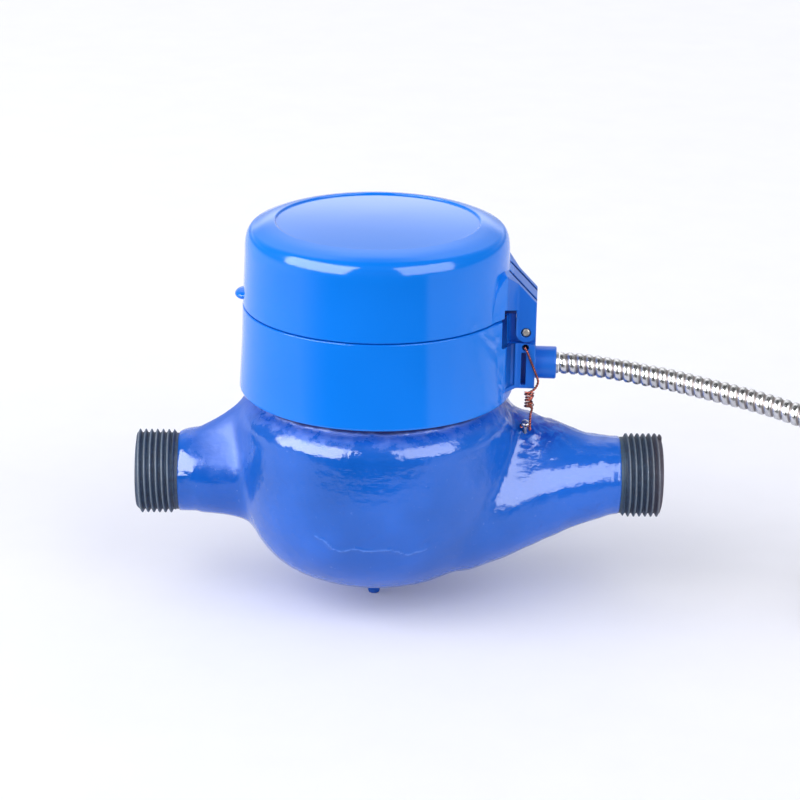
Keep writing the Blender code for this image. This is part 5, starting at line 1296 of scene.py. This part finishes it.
class METER_OT_lid(bpy.types.Operator):
    """Mould the lid: shell, top disc, hinge hood and thumb tab"""

    bl_idname = "meter.lid"
    bl_label = "Lid"

    def hood(self):
        bottom = 0.0570
        side = [(HOOD_ROOT, bottom), (PIN_X - LUG, bottom)] + arc((PIN_X, PIN_Z), LUG, 180, 360, 24)
        side += [(FACE, FACE_TOP), (HOOD_ROOT, FACE_TOP + (FACE - HOOD_ROOT) * HOOD_SLOPE)]
        side = rounded(side, {len(side) - 2: 0.0005})
        hood = prism("hood", side, -0.0255, 0.0255, "Y", BRACKET)
        plan = prism("plan", bracket_outline(), PIN_Z - LUG - 0.002, RIM_TOP, "Z", BRACKET)
        brow = []
        steps = 20
        for step in range(steps + 1):
            turn = RIGHT * step / steps
            across = math.cos(turn) if step < steps else 0.0
            brow.append((CHEEK + 0.0110 * across ** (2 / 2.3), bottom + 0.0140 * math.sin(turn) ** (2 / 2.3)))
        low = PIN_Z - LUG - 0.002
        right = [(brow[0][0], low)] + brow + [(CHEEK, RIM_TOP)]
        both = right + [(-y, z) for y, z in reversed(right)]
        front = prism("front", both, HOOD_ROOT - 0.002, FACE + 0.002, "X", BRACKET)
        combined(hood, "INTERSECT", plan, front)
        gap = KNUCKLE + 0.0003
        near, far = PIN_X - LUG - 0.002, FACE + 0.002
        notch = [(near, low), (far, low), (far, bottom), (near, bottom)]
        return combined(hood, "DIFFERENCE", prism("notch", notch, -gap, gap, "Y", BRACKET))

    def execute(self, context):
        disc = RIM_TOP - 0.0005
        outline = [(0.0, LID_START), (SEAM_RADIUS - 0.0004, LID_START),
                   (SEAM_RADIUS - 0.0001, LID_START + 0.0003), (SEAM_RADIUS - 0.0003, LID_START + 0.0050)]
        outline += lid_corner(0.0, 22)
        outline += [(DISC_RADIUS + 0.0003, RIM_TOP), (DISC_RADIUS, RIM_TOP - 0.00012),
                    (DISC_RADIUS - 0.0001, disc + 0.0001), (DISC_RADIUS - 0.0003, disc)]
        outline += [(DISC_RADIUS * share, disc + 0.0004 * (1 - share ** 2))
                    for share in (0.85, 0.7, 0.5, 0.3, 0.15, 0.0)]
        lid = turned("lid_shell", outline)
        combined(lid, "UNION", self.hood())
        inner = SEAM_RADIUS - 0.0001 - LID_WALL - 0.0002
        hollow = [(0.0, LID_START - 0.002), (inner, LID_START - 0.002)]
        hollow += lid_corner(LID_WALL, 10) + [(0.0, RIM_TOP - LID_WALL)]
        combined(lid, "DIFFERENCE", turned("hollow", hollow))
        rise = math.hypot(1, HOOD_SLOPE)
        for spot in (-GROOVE, GROOVE):
            strip = [(x, FACE_TOP + (FACE - x) * HOOD_SLOPE + lift * rise)
                     for x, lift in ((LID_RADIUS, -0.0018), (FACE + 0.002, -0.0018), (FACE + 0.002, 0.002),
                                     (LID_RADIUS, 0.002))]
            combined(lid, "DIFFERENCE", prism("groove", strip, spot - 0.0012, spot + 0.0012, "Y", BRACKET))
        notch = [(0.0396, 0.0550), (0.0396, 0.0596), (0.0442, 0.0576), (0.0442, 0.0550)]
        for side in (-1, 1):
            ends = sorted((side * (CHEEK + 0.0001), side * 0.020))
            combined(lid, "DIFFERENCE", prism("notch", notch, *ends, "Y", BRACKET))
        near, far = SEAM_RADIUS + 0.0009, FACE - 0.0020
        pocket = [(near, 0.0550), (far, 0.0550), (far, 0.0605), (near, FACE_TOP + (far - near) * HOOD_SLOPE)]
        half = 0.0030
        reach = CHEEK + 0.002
        combined(lid, "DIFFERENCE", prism("pocket", pocket, -half, half, "Y", BRACKET),
                 cross_rod("pin_bore", reach, PIN_Z, PIN_BORE, 40))
        combined(lid, "UNION", self.thumb_tab())
        smooth(coated(lid, housing_finish()), 24)
        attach(lid, "lid")
        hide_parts("lid")
        return {"FINISHED"}

    def thumb_tab(self):
        tab = fresh("thumb_tab", bpy.ops.mesh.primitive_uv_sphere_add, segments=48, ring_count=24, radius=1.0)
        placed(tab, BRACKET @ Matrix.Translation((-SEAM_RADIUS + 0.0004, 0, LID_START + 0.0016))
               @ Matrix.Diagonal((0.0030, 0.0046, 0.0017, 1)))
        inward = cylinder("inward", (0, 0, 0.05), (0, 0, 0.09), SEAM_RADIUS - 0.0016, 160)
        return combined(tab, "DIFFERENCE", inward)


class METER_OT_seal(bpy.types.Operator):
    """Fit the hinge pin, the drilled sealing screw and the twisted seal wire"""

    bl_idname = "meter.seal"
    bl_label = "Hinge pin and seal"

    def execute(self, context):
        pin = cross_rod("steel_pin", CHEEK + 0.0001, PIN_Z, 0.0012, 40, 0.0003)
        smooth(coated(pin, metal_finish("pin_steel", linear(214, 208, 200), 0.36)), 30)
        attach(pin, "meter")
        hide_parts("hinge_pin")
        self.screw()
        self.wire()
        return {"FINISHED"}

    def seat(self):
        """Where the screw stands on the inlet neck, and the way up from there."""
        shape = neck_at(INLET_NECK, SCREW_X)
        reach = float(neck_reach(shape, np.array([[RIGHT - SCREW_TILT]]))[0, 0])
        up = Vector((0.0, -math.sin(SCREW_TILT), math.cos(SCREW_TILT)))
        return Vector((SCREW_X, 0.0, float(shape[0][0]))) + up * reach, up

    def screw(self):
        foot, up = self.seat()
        place = standing(foot, up)
        lift = 0.0011
        profile = [(0, -0.0038), (0.0007, -0.0038), (0.0007, lift), (0.0012, lift), (0.0013, lift + 0.0001),
                   (0.0013, lift + 0.0011), (0.00115, lift + 0.0013), (0.0009, lift + 0.0014),
                   (0, lift + 0.00145)]
        screw = turned("drilled_screw", profile, 40, place)
        across = (up.cross(Vector((1, 0, 0)))).normalized()
        middle = foot + up * (lift + 0.0006)
        drilling = cylinder("drilling", middle - across * 0.003, middle + across * 0.003, 0.00035, 16)
        combined(screw, "DIFFERENCE", drilling)
        smooth(coated(screw, metal_finish("screw_nickel", linear(206, 204, 204), 0.22)), 30)
        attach(screw, "meter")
        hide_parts("sealing_screw")

    def wire(self):
        """Two strands twisted together, hooked round the screw, curled up, and run to the bracket."""
        foot, up = self.seat()
        across = Vector((1, 0, 0))
        back = up.cross(across)
        level = foot + up * 0.0007
        grip = 0.0013
        route = [level + (across * math.cos(math.radians(a)) + back * math.sin(math.radians(a))) * grip
                 for a in range(204, -1, -34)]
        for out, rise in ((0.0012, 0.0), (0.0022, 0.0004), (0.0027, 0.0016)):
            route.append(level + across * grip - back * out + up * rise)
        route.append(Vector((0.0476, -0.0113, 0.0240)))
        for step in range(19):
            a = TURN * 2.5 * step / 18
            route.append(Vector((CURL_X + 0.0010 * math.cos(a), CURL_Y + 0.0010 * math.sin(a),
                                 0.0264 + CURL_RISE * step / 18)))
        reach = CHEEK + 0.0008
        route += [bracket_point(*spot) for spot in (
            (FACE, -reach, 0.0330), (FACE + 0.0011, -reach + 0.0004, 0.0352), (FACE + 0.0004, -reach, 0.0378),
            (FACE - 0.0011, -reach, 0.0415), (PIN_X + 0.0006, -reach + 0.0001, 0.0449),
            (PIN_X, -reach + 0.0010, SEAL_Z), (PIN_X, -CHEEK + 0.0040, SEAL_Z))]
        centre = eased(route, 900)
        length = length_of(centre)
        sides, ups = frames_along(centre)
        strand = sizes().wire_radius
        angles = TURN * np.linspace(0, length, len(centre)) / 0.0016
        strands = []
        for number, turn in enumerate((0.0, math.pi)):
            shift = np.cos(angles + turn)[:, None] * sides + np.sin(angles + turn)[:, None] * ups
            strands.append(tube(f"strand_{number}", centre + shift * strand * 0.95, strand, 8))
        pigtail = self.pigtail()
        wire = merged("seal_wire_pair", strands + [pigtail])
        smooth(coated(wire, metal_finish("seal_copper_wire", colours().copper, 0.16, 900.0, dark=0.35)), 60)
        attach(wire, "meter")
        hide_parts("seal_wire")

    def pigtail(self):
        """The loose end, wound tightly round the wire."""
        route = []
        for step in range(60):
            share = step / 59
            a = TURN * 5 * share
            swell = 0.0011 + 0.0003 * math.sin(share * 9.0)
            route.append((CURL_X + swell * math.cos(a), CURL_Y + swell * math.sin(a),
                          0.0268 + CURL_RISE * share))
        route.append((0.0455, -0.0132, 0.0322))
        return tube("pigtail", eased(route, 260), sizes().wire_radius, 8)


class METER_OT_register(bpy.types.Operator):
    """Finish the register under the lid, the chamber inside, and print the dial"""

    bl_idname = "meter.register"
    bl_label = "Register and chamber"

    def execute(self, context):
        black = plastic_finish("black_moulding", linear(34, 36, 40))
        white = plastic_finish("white_moulding", linear(226, 228, 230), 0.38)
        red = plastic_finish("red_moulding", linear(190, 30, 28), 0.38)
        steel = metal_finish("turned_steel", linear(188, 189, 192), 0.26)
        brass = metal_finish("ring_brass", linear(196, 156, 84), 0.3)
        ferrite = plastic_finish("ferrite", linear(60, 60, 63), 0.6)
        rubber = plastic_finish("gasket_rubber", linear(28, 28, 29), 0.66)
        board = plastic_finish("board_lacquer", linear(26, 96, 58), 0.34, 900.0)
        lead = plastic_finish("inner_lead", linear(46, 48, 52), 0.5)
        glass = Finish("register_pane", Roughness=0.03, IOR=1.5, Transmission_Weight=1.0)
        haze = glass.ramp(glass.noise(50.0, 3.0), (0.4, 0.97), (0.7, 1.0))
        glass.feed(Base_Color=glass.mix(haze, linear(214, 232, 232), linear(250, 252, 252)))
        finishes = {
            black: ("register_case", "measuring_chamber", "chamber_cover", "register_bezel"),
            white: ("inlet_strainer", "impeller", "dial_plate", "movement_plate", "number_wheel_1",
                    "number_wheel_2", "number_wheel_3", "number_wheel_4", "number_wheel_5", "drive_spindle",
                    "reduction_gear", "pointer_gear"),
            red: ("litre_pointer", "flow_star"),
            steel: ("pivot_pin", "number_shaft", "pressure_plate"),
            brass: ("head_ring",),
            ferrite: ("drive_magnet", "follower_magnet"),
            rubber: ("pressure_gasket",),
            board: ("reading_board",),
            lead: ("signal_lead",),
            glass: ("register_glass",),
        }
        for finish, nodes in finishes.items():
            for node in nodes:
                dressed(node, finish)
        self.digits()
        self.dial_print()
        return {"FINISHED"}

    def text(self, name, words, height, place, ink, depth=0.00004):
        """Plain numerals as a thin mesh."""
        item = fresh(name, bpy.ops.object.text_add)
        item.data.body = words
        item.data.size = height * 1.45
        item.data.align_x = "CENTER"
        item.data.align_y = "CENTER"
        item.data.extrude = depth
        item.data.resolution_u = 3
        bpy.ops.object.convert(target="MESH")
        item = bpy.context.object
        placed(item, place)
        return coated(item, ink)

    def digits(self):
        """Numerals wrapped on each number wheel, one of them upright in the window."""
        ink = plastic_finish("numeral_ink", linear(22, 22, 24), 0.5)
        for number in range(1, 6):
            node = f"number_wheel_{number}"
            low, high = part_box(node)
            centre = (low + high) / 2
            radius = (high.z - low.z) / 2
            made = []
            for digit in range(10):
                numeral = self.text(f"numeral_{number}_{digit}", str(digit), 0.0026, Matrix.Identity(4), ink)
                for vertex in numeral.data.vertices:
                    x, y, z = vertex.co
                    angle = y / radius + TURN * (digit / 10)
                    reach = radius * 1.002 + 0.00002 + z
                    vertex.co = centre + Vector((x, reach * math.sin(angle), reach * math.cos(angle)))
                made.append(numeral)
            ring = merged(f"wheel_numerals_{number}", made)
            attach(ring, f"digit_{number}")

    def dial_print(self):
        """The printed face: a ring of marks round the litre pointer and a frame round the window."""
        ink = plastic_finish("dial_ink", linear(30, 30, 34), 0.5)
        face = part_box("dial_plate")[1].z + 0.00004
        hub = sum(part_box("pointer_gear"), Vector()) / 2
        made = []
        ring = 0.0082
        for mark in range(50):
            angle = TURN * mark / 50
            long = mark % 5 == 0
            spot = ring - (0.0008 if long else 0.0004)
            length, width = (0.0018, 0.00032) if long else (0.0009, 0.00016)
            tick = fresh(f"tick_{mark}", bpy.ops.mesh.primitive_cube_add, size=1.0)
            place = (Matrix.Translation((hub.x, hub.y, face)) @ Matrix.Rotation(angle, 4, "Z")
                     @ Matrix.Translation((spot, 0, 0)) @ Matrix.Diagonal((length, width, 0.00006, 1)))
            placed(tick, place)
            made.append(coated(tick, ink))
        for digit in range(10):
            angle = RIGHT - TURN * digit / 10
            spot = (hub.x + math.cos(angle) * 0.0108, hub.y + math.sin(angle) * 0.0108, face)
            place = Matrix.Translation(spot)
            made.append(self.text(f"scale_{digit}", str(digit), 0.0019, place, ink))
        window = [(-0.0128, 0.0048), (0.0128, 0.0048), (0.0128, 0.0112), (-0.0128, 0.0112)]
        inner = [(-0.0123, 0.0051), (0.0123, 0.0051), (0.0123, 0.0109), (-0.0123, 0.0109)]
        window = rounded(window, dict.fromkeys(range(4), 0.0006))
        border = prism("border", window, face - 0.00003, face + 0.00004)
        combined(border, "DIFFERENCE", prism("inner", inner, face - 0.001, face + 0.001))
        made.append(coated(border, ink))
        printed = merged("dial_print", made)
        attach(printed, "meter")


class METER_PT_parts(bpy.types.Panel):
    """The meter's operators, in the order that they run"""

    bl_idname = "METER_PT_parts"
    bl_label = "Water meter"
    bl_space_type = "VIEW_3D"
    bl_region_type = "UI"
    bl_category = "Meter"

    def draw(self, context):
        column = self.layout.column(align=True)
        for operator in OPERATORS:
            column.operator(operator.bl_idname)
        for group in (context.scene.meter_sizes, context.scene.meter_colours):
            box = self.layout.box()
            for name in group.__annotations__:
                box.prop(group, name)


GROUPS = (MeterSizes, MeterColours)
OPERATORS = (METER_OT_stage, METER_OT_conduit, METER_OT_casting, METER_OT_threads, METER_OT_housing,
             METER_OT_lid, METER_OT_seal, METER_OT_register)


def register():
    for group in GROUPS + OPERATORS + (METER_PT_parts,):
        bpy.utils.register_class(group)
    bpy.types.Scene.meter_sizes = PointerProperty(type=MeterSizes)
    bpy.types.Scene.meter_colours = PointerProperty(type=MeterColours)


def unregister():
    del bpy.types.Scene.meter_sizes
    del bpy.types.Scene.meter_colours
    for group in reversed(GROUPS + OPERATORS + (METER_PT_parts,)):
        bpy.utils.unregister_class(group)


def main():
    register()
    bpy.ops.meter.stage()
    bpy.ops.meter.conduit()
    bpy.ops.meter.casting()
    bpy.ops.meter.threads()
    bpy.ops.meter.housing()
    bpy.ops.meter.lid()
    bpy.ops.meter.seal()
    bpy.ops.meter.register()


if __name__ == "__main__":
    main()
